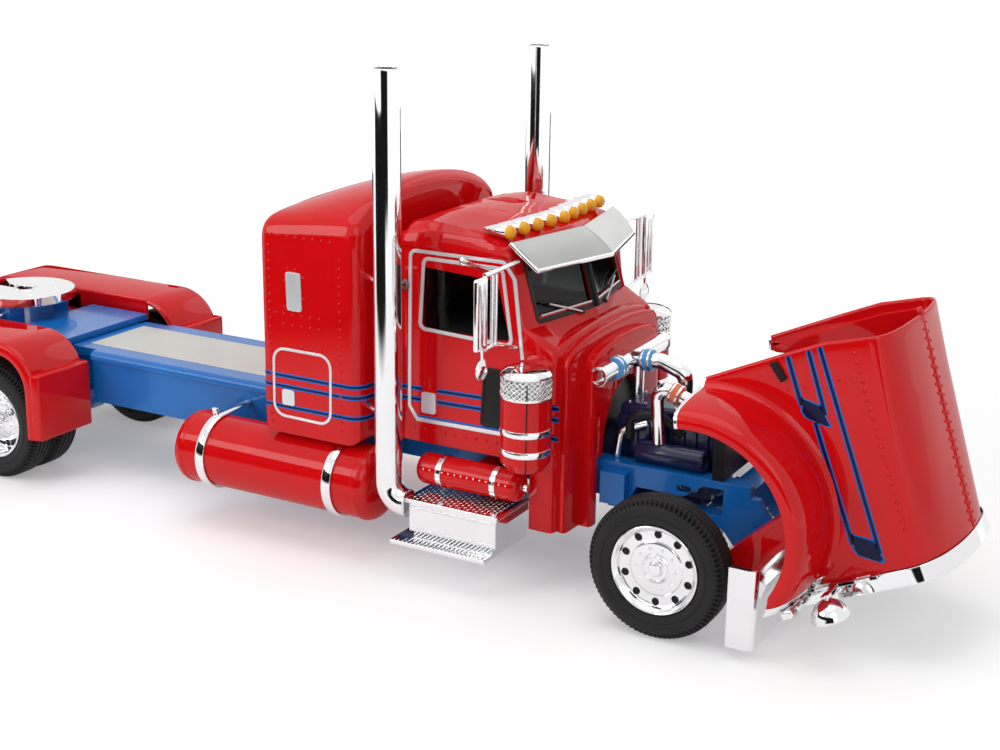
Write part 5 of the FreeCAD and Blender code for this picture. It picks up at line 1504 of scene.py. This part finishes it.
@dataclass
class Hood:
    """The open hood: its skin and fenders, surround, stripes, rivets, hinge, straps and lamps."""

    side: float = -10.5
    top_rear: float = 32.55
    top_front: float = 30.15
    rear: float = -13.5
    front: float = 12.3
    wall: float = 0.8
    inner_wall: float = 1.0
    bottom: float = 10.4
    ledge: tuple[Place, ...] = ((0.0, 0.26, 0.6), (0.05, 0.1, 0.6), (0.2, 0.02, 0.6),
                                (0.5, 0.0, 0.6), (1.25, 0.0, 0.6), (1.35, 0.0, 1.0))
    fender_centre: Flat = (0.95, 6.0)
    fender_crown: float = 14.0
    fender_front: float = 11.3
    fender_span: Flat = (163.0, 22.0)
    section: tuple[Flat, ...] = (
        (11.38, -18.15), (11.30, -18.45), (11.40, -18.72), (11.65, -18.82), (12.15, -18.80),
        (12.60, -18.68), (12.98, -18.38), (13.24, -17.9), (13.42, -17.2), (13.60, -16.2),
        (13.78, -15.0), (13.90, -13.8), (13.94, -12.6), (13.94, -11.8), (14.02, -11.2),
        (14.30, -10.75), (14.7, -10.5), (14.2, -9.9), (13.2, -9.9), (13.15, -12.6), (13.05, -15.0),
        (12.75, -16.8), (12.45, -17.6), (12.0, -18.0))
    bumper_room: float = 5.05
    trim_inner: float = -10.62
    surround: tuple[Flat, ...] = ((0.30, 12.36), (0.45, 13.6), (0.50, 14.1), (0.35, 14.3),
                                  (-0.75, 14.3), (-0.95, 14.1), (-0.95, 12.36))
    surround_foot: float = 12.2
    strap: tuple[Flat, ...] = ((-13.1, 18.35), (-12.9, 19.2), (-10.75, 19.6), (-10.6, 18.95))
    apron: tuple[Flat, ...] = ((6.3, 5.9), (5.9, 7.2), (5.4, 8.8), (4.8, 10.4), (4.3, 12.0),
                               (3.7, 13.8), (3.3, 15.2))
    apron_y: Flat = (-13.5, -10.0)
    apron_wall: float = 0.6
    apron_deep: float = 2.9
    stripes: tuple[tuple[Flat, Flat], ...] = (
        ((-13.1, 20.5), (-7.6, 20.12)), ((-13.1, 22.95), (-5.9, 22.35)),
        ((-13.1, 24.28), (10.2, 23.0)), ((-5.4, 20.95), (8.6, 20.35)))
    blocks: tuple[tuple[Flat, ...], ...] = (
        ((-8.5, 20.4), (-7.1, 22.2), (-4.45, 22.62), (-4.45, 22.25), (-6.1, 20.05), (-7.0, 19.75)),
        ((7.3, 20.55), (8.5, 22.75), (11.1, 23.38), (11.35, 22.9), (9.9, 20.42), (9.1, 20.15)))
    rear_rivets: tuple[Flat, ...] = ((-9.6, 19.2), (-9.4, 21.2), (-9.2, 25.2), (-9.1, 26.4))
    lamp: Place = (12.6, -15.2, 17.2)
    bowl: float = 2.1

    def build(self) -> None:
        """Build the hood and everything on it."""
        self._skin()
        self._fenders()
        outline = self._outline(self.front, self.surround_foot)
        outline += [(y, self.surround_foot) for y in row(-self.side - 3.0, -3.0, 6)]
        surround = Form().ring_of(list(reversed(outline)), self.surround)
        surround.hood_piece("grille_surround", CHROME, ["grille_shell"], 35)
        stripes = StripeSet(self.side, 0.70, 0.34, sunk=0.06)
        for line in self.stripes:
            stripes.draw(line)
        for block in self.blocks:
            stripes.fill(block, (0.86, 0.84))
        stripes.finish("hood", on_hood=True)
        self._rivets()
        self._headlamps()
        strap = Form().plate(flat_path(self.strap, 0.2), Axis.Y, self.side - 0.02, self.side - 0.5)
        strap.both().hood_piece("hood_latch_straps", BLACK, ["hood_latches"])
        outer, inner = self.apron_y
        apron = Form().stroke(self.apron, self.apron_wall, outer, inner)
        deep = [(x + self.apron_deep, z + 0.4) for x, z in reversed(self.apron)]
        apron.plate([*self.apron, *deep], Axis.Y, outer + 0.05, outer + self.apron_wall)
        apron.both().hood_piece("hood_inner_aprons", RED)

    def _crown(self, x: float) -> float:
        """Height of the hood's ridge at a station."""
        share = (x - self.rear) / (self.front - self.rear)
        return self.top_rear + (self.top_front - self.top_rear) * share

    def _outline(self, x: float, bottom: float) -> list[Flat]:
        """The skin's outline at a station, from the right foot over the ridge to the left foot.

        Args:
            x: The station.
            bottom: The height of its feet.

        Returns:
            (y, z) points.
        """
        share = (x - self.rear) / (self.front - self.rear)
        top, side = self._crown(x), -self.side
        curve = bezier([(side, 29.6 - 4.4 * share), (side, 31.6 - 3.6 * share),
                        (8.7 - 1.7 * share, top - 0.1 + 0.1 * share), (0.0, top)], 16)
        foot = [(side, bottom + (curve[0][1] - bottom) * k / 4) for k in range(4)]
        half = foot + curve
        return [(-y, z) for y, z in half] + list(reversed(half[:-1]))

    def _skin(self) -> None:
        """Build the top and sides, their wheel arches left open."""
        (fx, fz), radius = self.fender_centre, self.fender_crown - self.wall
        first, last = math.radians(165.0), math.acos((self.front - fx) / radius)
        rows = [(self.rear + step, thin, wall) for step, thin, wall in self.ledge]
        rows += [(fx + radius * math.cos(first + (last - first) * k / 44), 0.0, self.inner_wall)
                 for k in range(45)]
        rings = []
        for x, thin, wall in rows:
            arch = radius ** 2 - (x - fx) ** 2
            bottom = max(self.bottom, fz + math.sqrt(arch)) if arch > 0 else self.bottom
            line = [Vector(point) for point in self._outline(x, bottom)]
            fade = max(0.0, 1.0 - (x - self.rear) / 8.0)
            near, far = [], []
            for index, point in enumerate(line):
                way = line[min(index + 1, len(line) - 1)] - line[max(index - 1, 0)]
                inward = Vector((way.y, -way.x)).normalized()
                lean = (0.16 * max(0.0, point.y - 25.0) + 0.01 * abs(point.y - 21.0)) * fade
                for side, depth in ((near, thin), (far, wall - thin)):
                    side.append(Vector((x + lean, *(point + inward * depth))))
            rings.append(near + list(reversed(far)))
        Form().loft(rings).hood_piece("hood_skin", RED, ["hood_shell"], 45)

    def _sweep(self, start: float, end: float, steps: int) -> Form:
        """The right fender's section turned about the fender's centre.

        Args:
            start: The first angle, in degrees.
            end: The last angle.
            steps: Straight bits.

        Returns:
            The form.
        """
        fx, fz = self.fender_centre
        angles = [math.radians(start + (end - start) * step / steps) for step in range(steps + 1)]
        return Form().loft([[Vector((fx + r * math.cos(a), y, fz + r * math.sin(a)))
                             for r, y in self.section] for a in angles])

    def _room(self) -> Form:
        """The round space that the fenders leave for the bumper."""
        room = [(-20, 0), (-20, self.bumper_room), (0, self.bumper_room), (0, 0)]
        return Form().turned(room, (HINGE.x, 0, HINGE.z), Axis.Y, 40)

    def _fenders(self) -> None:
        """Build both fenders and the bright strips on their ends."""
        start, end = self.fender_span
        ahead = Form().block((self.fender_front, -30, -5), (30, 0, 30))
        fender = cut_form(self._sweep(start, end, 56), ahead, self._room())
        fender.both().hood_piece("hood_fenders", RED, smooth_deg=40)
        ahead = Form().block((self.fender_front + 0.85, -30, -5), (30, 0, 30))
        behind = Form().block((-30, -30, -5), (self.fender_front + 0.06, 0, 30))
        inboard = ((-30, self.trim_inner, -5), (30, 0, 30))
        strip = cut_form(self._sweep(70.0, end, 24), ahead, behind, Form().block(*inboard),
                         self._room())
        strip.both().hood_piece("fender_front_strips", CHROME, ["fender_trims"], 40)
        strip = cut_form(self._sweep(start + 2.0, start + 0.15, 3), Form().block(*inboard))
        strip.both().hood_piece("fender_rear_strips", CHROME, smooth_deg=40)

    def _rivets(self) -> None:
        """Build the sides' rivets and the long hinge along the ridge, with its own."""
        form = Form()
        for step in row(0.0, 1.04, 20):
            form.dome((step - 11.5, self.side, 27.75 - 0.062 * step), RIGHT_WAY, 0.25, 0.17)
        for x, z in self.rear_rivets:
            form.dome((x, self.side, z), RIGHT_WAY, 0.22, 0.14)
        form.both().hood_piece("hood_side_rivets", RED, smooth_deg=60)
        start, end = ((x, 0, self._crown(x) - 0.05) for x in (-12.9, 12.2))
        form = Form().rod(start, end, 0.24, 10)
        for side in (-1, 1):
            for x in row(-12.4 + side * 0.26, 1.04, 24):
                form.dome((x, side * 0.72, self._crown(x) - 0.06), UP_WAY, 0.27, 0.24)
        form.hood_piece("hood_middle_hinge", RED, smooth_deg=60)

    def _headlamps(self) -> None:
        """Build the headlamps with their lenses, brackets and signal bars."""
        (x, y, z), r = self.lamp, self.bowl
        bowl = [(2.0 * (1 - math.cos(a)) - 0.05, r * math.sin(a)) for a in arc(math.pi / 2, 10)]
        form = Form().turned(bowl + [(2.12, r * 1.03), (2.28, r * 1.0), (2.28, r * 0.9),
                                     (2.0, r * 0.88), (1.3, r * 0.6), (1.2, 0.0)], self.lamp,
                             Axis.X, 48)
        form.block((x - 0.44, y, z - 0.45), (x + 0.3, -11.4, z + 0.45), 0.15)
        for low, high in ((13.7, 14.9), (16.4, 19.7), (21.3, 22.3)):
            form.block((x - 0.46, -11.67, low), (x, -10.52, high), 0.1)
        for y0, y1 in ((-11.67, -11.35), (-10.84, -10.52)):
            form.block((x - 0.46, y0, 13.7), (x, y1, 22.3), 0.1)
        form.block((x - 0.46, -18.0, 12.9), (x + 0.62, -11.42, 14.3), 0.3, 3)
        form.both().hood_piece("headlamp_bowls", CHROME, ["headlamps"], 50)
        lens = Form().turned([(2.02, 0.0), (2.02, r * 0.86), (2.24, r * 0.88), (2.38, r * 0.6),
                              (2.46, 0.0)], self.lamp, Axis.X, 36)
        lens.both().hood_piece("headlamp_lenses", LENS, smooth_deg=50)
        signal = Form().block((x + 0.5, -17.6, 13.1), (x + 0.74, -15.6, 14.1), 0.12, 2)
        signal.both().hood_piece("signal_lenses", AMBER)


@dataclass
class EngineBay:
    """The bright intake pipes, their sleeves and clamps, and the engine's small parts."""

    bar: Flat = (-12.0, 26.3)
    bar_radius: float = 1.05
    bar_half: float = 9.2
    branch_y: float = -1.0
    branch_x: float = -4.4
    branch_radius: float = 0.95
    branch_run: Place = (4.4, 0.0, 0.3)
    head_top: float = 21.6
    side_y: float = -4.6
    charge_x: float = -5.9
    charge_top: float = 25.3
    charge_drop: float = 3.0
    charge_radius: float = 0.85
    radiator_x: float = 1.6
    engine_side: float = 3.2
    cover: tuple[Flat, ...] = ((-8.75, 0.0), (-8.75, 0.9), (-8.6, 1.2), (-8.3, 1.37), (-0.3, 1.37),
                               (0.0, 1.2), (0.15, 0.9), (0.15, 0.0))
    hose: tuple[Place, ...] = ((-9.6, -4.9, 18.1), (-9.6, -5.1, 20.8), (-6.2, -4.4, 21.4),
                               (-3.6, -3.3, 19.0))

    def build(self) -> None:
        """Build everything in the bay."""
        (x, z), half, r = self.bar, self.bar_half, self.bar_radius
        end = [(half - 1.6, r), (half - 0.5, r), (half - 0.42, r + 0.14), (half, r + 0.14),
               (half, r - 0.22), (half - 1.2, r - 0.22), (half - 1.2, 0.0)]
        profile = [(-y, q) for y, q in reversed(end)] + end
        pipes = Form().turned(profile, (x, 0, z), Axis.Y, 32)
        pipes.rod((x + 1.0, 0, self.head_top), (x + 1.0, 0, z), 0.7)
        y, branch_x = self.branch_y, self.branch_x
        branch = rounded_path([(x, y, z + 0.3), (x + 4.4, y, z + 0.6), (branch_x, y, z - 0.5),
                               (branch_x, y, self.head_top - 0.1)], 1.5, 6)
        pipes.sweep(branch, self.branch_radius, 24)
        y, charge_x, high = self.side_y, self.charge_x, self.charge_top
        charge = rounded_path([(charge_x, y, 18.0), (charge_x - 0.6, y, high),
                               (self.radiator_x, y, high - self.charge_drop)], 1.3, 8)
        pipes.sweep(charge, self.charge_radius, 24)
        header = rounded_path([(-11.2, y - 0.3, 15.5), (-10.7, y - 0.3, 18.8), (-8.2, -3.2, 19.6)],
                              0.8, 6)
        pipes.sweep(header, 0.5, 16)
        pipes.piece("bay_pipes", CHROME, ["intake_pipes"])
        self._sleeves()
        self._engine_dress()

    def _sleeve(self, form: Form, clamps: Form, start: Vector, end: Vector, radius: float) -> None:
        """Add a coupler sleeve and its two clamps.

        Args:
            form: The sleeves' form.
            clamps: The clamps' form.
            start: One end of the sleeve.
            end: Its other end.
            radius: The pipe's radius.
        """
        way = (end - start).normalized()
        path = [start, start + way * 0.12, start.lerp(end, 0.5), end - way * 0.12, end]
        form.sweep(path, [radius + swell for swell in (0.22, 0.34, 0.36, 0.34, 0.22)], 28)
        for place in (start + way * 0.32, end - way * 0.32):
            clamps.rod(place - way * 0.12, place + way * 0.12, radius + 0.40, 28)

    def _sleeves(self) -> None:
        """Build the light blue and the orange sleeves."""
        blue, orange, clamps = Form(), Form(), Form()
        x, z = self.bar
        self._sleeve(blue, clamps, Vector((x, -5.2, z)), Vector((x, -3.7, z)), self.bar_radius)
        bend = Vector((self.charge_x - 0.6, self.side_y, self.charge_top))
        end = Vector((self.radiator_x, self.side_y, self.charge_top - self.charge_drop))
        for form, start, way, radius in (
                (blue, Vector((x, self.branch_y, z + 0.3)), Vector(self.branch_run),
                 self.branch_radius), (orange, bend, end - bend, self.charge_radius)):
            way.normalize()
            self._sleeve(form, clamps, start + way * 1.9, start + way * 3.4, radius)
        blue.piece("blue_sleeves", SKY, ["intake_couplers"])
        orange.piece("orange_sleeve", ORANGE, ["charge_coupler"])
        clamps.piece("sleeve_clamps", CHROME)

    def _engine_dress(self) -> None:
        """Build the cover's bolts, the side ribs and the black hose."""
        bolts, ribs, wide = Form(), Form(), self.engine_side
        for side in (-1, 1):
            for x in row(-11.0, 2.0, 6):
                bolts.rod((x, side * 2.2, 21.5), (x, side * 2.2, 21.85), 0.22, 6)
        for x in row(-10.0, 2.1, 5):
            for side in (-1, 1):
                bolts.rod((x, side * wide, 12.6), (x, side * (wide + 0.4), 12.6), 0.35, 8)
        bolts.piece("engine_bolts", CHROME)
        for side in (-1, 1):
            low, high = sorted((side * 3.28, side * 3.28 + side * 0.3))
            for x in row(-11.2, 1.5, 8):
                ribs.block((x, low, 13.4), (x + 0.5, high, 19.6), 0.1, 1)
            ribs.turned(self.cover, (0, side * 4.6, 16.72), Axis.X, 32)
        ribs.piece("engine_ribs", NAVY)
        Form().sweep(rounded_path(self.hose, 1.0, 6), 0.55, 16).piece("bay_hose", BLACK)


@dataclass
class RearFenders:
    """The long fenders over both drive axles, their edges rolled, with a flat panel in front."""

    rear: float = -131.0
    front: float = -91.0
    foot: float = 7.2
    top: float = 20.2
    bend: float = 6.5
    section: tuple[Flat, ...] = (
        (-1.75, -18.75), (-1.75, -19.25), (-1.5, -19.45), (-1.0, -19.45), (-0.6, -19.40),
        (-0.25, -19.2), (-0.07, -18.9), (0.0, -18.5), (0.0, -10.1), (-0.12, -9.75), (-0.45, -9.6),
        (-0.85, -9.75), (-0.9, -18.2), (-1.1, -18.5))
    panel: tuple[Place, Place] = ((-91.9, -19.4, 7.2), (-90.1, -9.6, 16.4))
    carriers: tuple[tuple[Place, Place], ...] = (
        ((-112.4, -10.4, 12.8), (-109.6, -9.6, 19.4)), ((-112.4, -9.7, 12.8), (-109.6, -6.6, 14.4)),
        ((-124.5, -9.95, 16.9), (-96.5, -9.6, 20.0)))

    def build(self) -> None:
        """Build both fenders."""
        path = rounded_path([(self.rear, 0, self.foot), (self.rear, 0, self.top),
                             (self.front, 0, self.top), (self.front, 0, self.foot)], self.bend, 14)
        rings = []
        for index, point in enumerate(path):
            way = (path[min(index + 1, len(path) - 1)] - path[max(index - 1, 0)]).normalized()
            out = Vector((-way.z, 0, way.x))
            rings.append([point + out * push + Vector((0, y, 0)) for push, y in self.section])
        for side in Side:
            form = Form().loft(rings).block(*self.panel, 0.35, 3)
            for carrier in self.carriers:
                form.block(*carrier, 0.1)
            form.on(side).piece(f"rear_fender_skin_{side.value}", RED,
                                [f"rear_fender_{side.value}"], smooth_deg=40)


@dataclass
class Tanks:
    """The round fuel and air tanks with their beads, bands and caps."""

    rear: float = -68.6
    front: float = -38.2
    radius: float = 4.75
    y: float = -14.0
    z: float = 9.5
    straps: Flat = (-63.4, -43.8)
    strap_arms: Flat = (-8.5, -6.6)
    strap_width: float = 1.3
    strap_lip: Flat = (0.18, 0.26)
    strap_tails: tuple[Flat, ...] = ((5.4, 0.35), (2.7, 0.18))
    end: tuple[Flat, ...] = ((0.05, -1.9), (0.18, -1.35), (0.42, -0.85), (0.75, -0.45), (1.1, -0.2),
                             (1.45, -0.1), (1.6, 0.0), (2.1, 0.0), (2.25, -0.1))
    air_rear: float = -32.6
    air_front: float = -18.6
    air_radius: float = 1.9
    air_y: float = -14.6
    air_z: float = 13.2
    air_end: tuple[Flat, ...] = ((0.0, -0.9), (0.2, -0.45), (0.5, -0.15), (0.85, 0.0), (1.0, 0.0))
    dots: int = 14

    def _skin(self, rear: float, front: float, radius: float, end: Sequence[Flat]) -> list[Flat]:
        """A tank's profile, the same at both ends.

        Args:
            rear: Its rear station.
            front: Its front station.
            radius: Its radius.
            end: (Depth from the end, change of radius) points.

        Returns:
            (Station, radius) points.
        """
        half = [(end[0][0], 0.0)] + [(depth, radius + change) for depth, change in end]
        return [(rear + x, q) for x, q in half] + [(front - x, q) for x, q in reversed(half)]

    def build(self) -> None:
        """Build the tanks."""
        place, top = (0, self.y, self.z), self.z + self.radius
        profile = self._skin(self.rear, self.front, self.radius, self.end)
        for side in Side:
            form = Form().turned(profile, place, Axis.X, 72)
            for x, inner in zip(self.straps, self.strap_arms):
                form.block((x - 0.6, -10.9, 10.2), (x + 0.6, inner, 12.0), 0.15)
            form.on(side).piece(f"fuel_tank_skin_{side.value}", RED, [f"fuel_tank_{side.value}"])
        straps = Form()
        for x in self.straps:
            self._strap(straps, x)
        cap_x = self.rear + 4.1
        straps.rod((cap_x, self.y, top - 0.2), (cap_x, self.y, top + 0.75), 0.45, 16)
        straps.both().piece("tank_strap_bands", CHROME, ["tank_straps"])
        self._air_tanks()

    def _strap(self, form: Form, x: float) -> None:
        """Add a bright band from the frame over the fuel tank and round its outer side.

        Args:
            form: The form that takes it.
            x: Its middle station.
        """
        half, (low, high) = self.strap_width / 2, self.strap_lip
        section = [(-half, -SUNK), (-half, low), (0.15 - half, high), (half - 0.15, high),
                   (half, low), (half, -SUNK)]
        top = Vector((x, self.y, self.z + self.radius))
        rings = [[top + Vector((along, inboard, rise + size)) for along, size in section]
                 for inboard, rise in self.strap_tails]
        for step in range(41):
            angle = math.radians(90.0 + 200.0 * step / 40)
            out = Vector((0, math.cos(angle), math.sin(angle)))
            rings.append([Vector((x + along, self.y, self.z)) + out * (self.radius + size)
                          for along, size in section])
        form.loft(rings)

    def _air_tanks(self) -> None:
        """Build the small tanks under the cab with their bands and dotted seam."""
        r, y, z = self.air_radius, self.air_y, self.air_z
        rear, front = self.air_rear, self.air_front
        form = Form().turned(self._skin(rear, front, r, self.air_end), (0, y, z), Axis.X, 48)
        middle = (rear + front) / 2
        form.block((middle - 1.0, -13.8, z - 0.8), (middle + 1.0, -6.6, z + 0.8), 0.1)
        form.both().piece("air_tank_skins", RED, ["air_tanks"])
        bands = Form()
        for x in (rear + 3.4, front - 3.2):
            bands.turned([(x - 0.35, r - 0.05), (x - 0.35, r + 0.1), (x + 0.35, r + 0.1),
                          (x + 0.35, r - 0.05)], (0, y, z), Axis.X, 40)
        bands.rod((front - 0.1, y, z), (front + 0.7, y, z), 0.5)
        angle = math.radians(-15.0)
        way = (0, -math.cos(angle), -math.sin(angle))
        for x in row(rear + 1.4, 0.86, self.dots):
            bands.dome((x, y + r * way[1], z + r * way[2]), way, 0.14, 0.07, 6)
        bands.both().piece("air_tank_bands", CHROME)


@dataclass
class Steps:
    """The tread plate and ribs of the chrome step boxes, whose sides stay bare."""

    rear: float = -32.1
    front: float = -19.7
    outer: float = -18.9
    top: float = 10.6
    columns: int = 20
    rows: int = 11
    tread_deep: float = 4.4
    mark: float = 0.2
    low_rear: float = -34.0
    low_outer: float = -19.5
    low_inner: float = -17.7
    low_top: float = 5.2
    ribs: int = 22
    side_ribs: tuple[Flat, Flat] = ((9.4, 9.7), (6.7, 6.95))

    def build(self) -> None:
        """Build the dress of both step boxes."""
        tread, (columns, rows) = Form(), (self.columns, self.rows)
        for i, j in ((i, j) for i in range(columns) for j in range(rows)):
            spot = Vector((self.rear + 0.7 + (self.front - self.rear - 1.4) * i / (columns - 1),
                           self.outer + 0.6 + self.tread_deep * j / (rows - 1), self.top))
            turn = math.radians(45 if (i + j) % 2 else -45)
            way = Vector((math.cos(turn), math.sin(turn), 0)) * self.mark
            tread.sweep([spot - way, spot, spot + way], [0.02, 0.07, 0.02], 6)
        for x in row(self.low_rear + 0.5, 0.57, self.ribs):
            tread.block((x - 0.12, self.low_outer + 0.15, self.low_top - 0.05),
                        (x + 0.12, self.low_inner, self.low_top + 0.09), 0.05, 1)
        for low, high in self.side_ribs:
            tread.block((self.rear + 0.55, self.outer + 0.34, low),
                        (self.front - 0.6, self.outer + 0.25, high), 0.05, 1)
        tread.both().piece("step_treads", CHROME)


@dataclass
class Coupling:
    """The fifth wheel's pivots, jaw ring and bolts."""

    x: float = -111.3
    top: float = 22.0
    pivots: Flat = (5.5, 7.6)
    bolts: tuple[Flat, ...] = ((3.6, 2.6), (0.4, 5.2), (-2.6, 4.6))
    jaw: Flat = (1.45, 1.75)
    plate_bolts: Place = (-97.0, 7.7, 18.3)

    def build(self) -> None:
        """Build the small parts on the plate."""
        form, bolts, (inner, outer) = Form(), Form(), self.pivots
        for side in (-1, 1):
            form.rod((self.x + 1.0, side * inner, 19.4), (self.x + 1.0, side * outer, 19.4),
                     0.8, 16)
            for dx, dy in self.bolts:
                form.dome((self.x + dx, side * dy, self.top), UP_WAY, 0.42, 0.12, 14)
        (inner, outer), low, high = self.jaw, self.top - 0.05, self.top + 0.06
        form.turned([(low, inner), (high, inner), (high, outer), (low, outer)], (self.x, 0, 0),
                    Axis.Z, 40)
        form.piece("fifth_wheel_small_parts", CHROME)
        start, wide, level = self.plate_bolts
        for side in (-1, 1):
            for x in row(start, -2.7, 4):
                bolts.dome((x, side * wide, level), UP_WAY, 0.3, 0.18, 8)
        bolts.piece("coupling_plate_bolts", BLUE, smooth_deg=60)


@dataclass
class Chassis:
    """Bolt heads along the frame rails."""

    side: float = -6.6
    stations: tuple[float, ...] = (-15.0, -60.0, -75.0, -88.0, -93.0, -105.5, -116.5, -126.0)
    pitch: float = 1.4
    rail_z: Flat = (12.2, 14.2)

    def build(self) -> None:
        """Build the bolts."""
        form = Form()
        for x, z in ((x, z) for x in self.stations for z in self.rail_z):
            for at in (x, x + self.pitch):
                form.rod((at, self.side + 0.1, z), (at, self.side - 0.2, z), 0.3, 6)
        form.both().piece("frame_bolts", BLUE)


@dataclass
class Studio:
    """The white floor, the soft lights, the dark cards for the plating, and the camera."""

    azimuth: float = 27.88
    elevation: float = 16.05
    roll: float = 1.15
    focal_px: float = 1613.42
    centre_px: Flat = (540.89, 356.48)
    image_px: Flat = (1000.0, 750.0)
    stand: Place = (65.59, -170.0, 79.99)
    sky: float = 0.46
    floor_reach: float = 4.0
    floor_colour: Colour = (0.86, 0.86, 0.865)
    floor_fade: Flat = (0.10, 0.45)
    floor_glow: Flat = (0.28, 0.85)
    card_fade: float = 0.009
    card_glow: Flat = (0.95, 0.01)
    cards: tuple[tuple[str, Flat, Flat, float], ...] = (
        ("card_front", (0.175, -0.185), (-0.02, -0.235), 0.08),
        ("card_left", (0.052, -0.128), (-0.096, -0.062), 0.045),
        ("card_rear", (-0.118, 0.0), (-0.100, 0.070), 0.026),
        ("card_behind", (-0.100, 0.078), (-0.012, 0.114), 0.035),
        ("card_far", (-0.012, 0.114), (0.05, 0.112), 0.04))
    lights: tuple[tuple[str, Place, Place, float, float], ...] = (
        ("overhead", (-0.02, -0.02, 0.42), (0.0, 0.0, 0.02), 0.42, 0.62),
        ("key", (0.28, -0.30, 0.26), (0.0, 0.0, 0.02), 0.26, 0.25),
        ("left_fill", (-0.26, -0.34, 0.20), (-0.02, 0.0, 0.02), 0.26, 0.60),
        ("back_fill", (0.05, 0.42, 0.24), (0.0, 0.0, 0.02), 0.30, 0.15))

    def build(self) -> None:
        """Build the studio."""
        self._world()
        self._floor()
        self._cards()
        for name, place, aim, size, power in self.lights:
            lamp = bpy.data.lights.new(name, "AREA")
            lamp.shape, lamp.size, lamp.energy = "DISK", size, power
            holder = add_object(name, lamp)
            holder.location = place
            way = Vector(aim) - Vector(place)
            holder.rotation_euler = way.to_track_quat("-Z", "Y").to_euler()
        self._camera()
        bpy.context.scene.view_settings.view_transform = "Standard"

    def _world(self) -> None:
        """White to the eye, plain soft light to the truck."""
        world = bpy.data.worlds.new("studio")
        bpy.context.scene.world = world
        tree = Tree(world)
        light, white = (tree.add("Background", {"Color": (1, 1, 1, 1), "Strength": strength})
                        for strength in (self.sky, 1.0))
        mix = tree.add("MixShader", {"Fac": tree.seen(), 1: light.outputs["Background"],
                                     2: white.outputs["Background"]})
        tree.add("OutputWorld", {"Surface": mix.outputs["Shader"]})

    def _floor(self) -> None:
        """A pale floor that keeps the truck's shadow and goes to white."""
        material = bpy.data.materials.new("floor_white")
        tree = Tree(material)
        (near, far), (low, high) = self.floor_fade, self.floor_glow
        where = tree.add("TexCoord").outputs["Object"]
        length = tree.add("VectorMath", {0: where}, operation="LENGTH").outputs["Value"]
        spread = tree.add("MapRange", {"From Min": near, "From Max": far, "To Min": low,
                                       "To Max": high, "Value": length},
                          interpolation_type="SMOOTHSTEP").outputs["Result"]
        scale = tree.add("Math", {0: tree.seen(), 1: spread}, operation="MULTIPLY")
        glow = tree.add("Emission", {"Strength": scale.outputs["Value"]}).outputs["Emission"]
        diffuse = tree.add("BsdfDiffuse", {"Color": (*self.floor_colour, 1)}).outputs["BSDF"]
        both = tree.add("AddShader", {0: diffuse, 1: glow}).outputs["Shader"]
        tree.add("OutputMaterial", {"Surface": both})
        reach = self.floor_reach
        floor = self._sheet("floor", material, [(-reach, -reach, 0), (reach, -reach, 0),
                                                (reach, reach, 0), (-reach, reach, 0)])

    def _cards(self) -> None:
        """Cards out of sight, dark above and pale at the floor, which the plating mirrors."""
        material = bpy.data.materials.new("card_soft")
        tree = Tree(material)
        where = tree.add("TexCoord").outputs["Object"]
        height = tree.add("SeparateXYZ", {"Vector": where}).outputs["Z"]
        low, high = self.card_glow
        fade = tree.add("MapRange", {"From Max": self.card_fade, "To Min": low, "To Max": high,
                                     "Value": height}, interpolation_type="SMOOTHSTEP")
        glow = tree.add("Emission", {"Strength": fade.outputs["Result"]}).outputs["Emission"]
        tree.add("OutputMaterial", {"Surface": glow})
        for name, start, end, top in self.cards:
            card = self._sheet(name, material, [(*start, 0), (*end, 0), (*end, top), (*start, top)])
            card.visible_camera = card.visible_diffuse = card.visible_shadow = False

    def _sheet(self, name: str, material: bpy.types.Material,
               corners: Sequence[Place]) -> bpy.types.Object:
        """A four-cornered sheet of the studio.

        Args:
            name: Its name.
            material: Its surface.
            corners: Its corners, in metres.

        Returns:
            The sheet.
        """
        data = bpy.data.meshes.new(name)
        data.from_pydata(corners, [], [(0, 1, 2, 3)])
        data.materials.append(material)
        return add_object(name, data)

    def _camera(self) -> None:
        """The camera at the photograph's place."""
        a, e, r = (math.radians(v) for v in (self.azimuth, self.elevation, self.roll))
        back = Vector((math.sin(a) * math.cos(e), -math.cos(a) * math.cos(e), math.sin(e)))
        right = Vector((math.cos(a), math.sin(a), 0))
        up = back.cross(right)
        side = right * math.cos(r) + up * math.sin(r)
        top = up * math.cos(r) - right * math.sin(r)
        data = bpy.data.cameras.new("camera")
        width, height = self.image_px
        data.sensor_width = 36.0
        data.lens = self.focal_px / width * data.sensor_width
        data.shift_x = -(self.centre_px[0] - width / 2) / width
        data.shift_y = (self.centre_px[1] - height / 2) / width
        data.clip_start = 0.005
        place = (Vector(self.stand) + Vector((AXLE_X, 0, 0))) * MM
        turn = Matrix((side, top, back)).transposed().to_4x4()
        camera = add_object("camera", data)
        camera.matrix_world = Matrix.Translation(place) @ turn
        bpy.context.scene.camera = camera


def main() -> None:
    """Build the truck's looks and the studio."""
    logging.basicConfig(level=logging.INFO, format="%(name)s: %(message)s")
    dress_nodes()
    for part in (RunningGear(), Stacks(), AirCleaners(), RoofLamps(), Visor(), Mirrors(), Sleeper(),
                 Cab(), Hood(), EngineBay(), RearFenders(), Tanks(), Steps(), Coupling(), Chassis(),
                 Studio()):
        log.info("building %s", type(part).__name__)
        part.build()


if __name__ == "__main__":
    main()
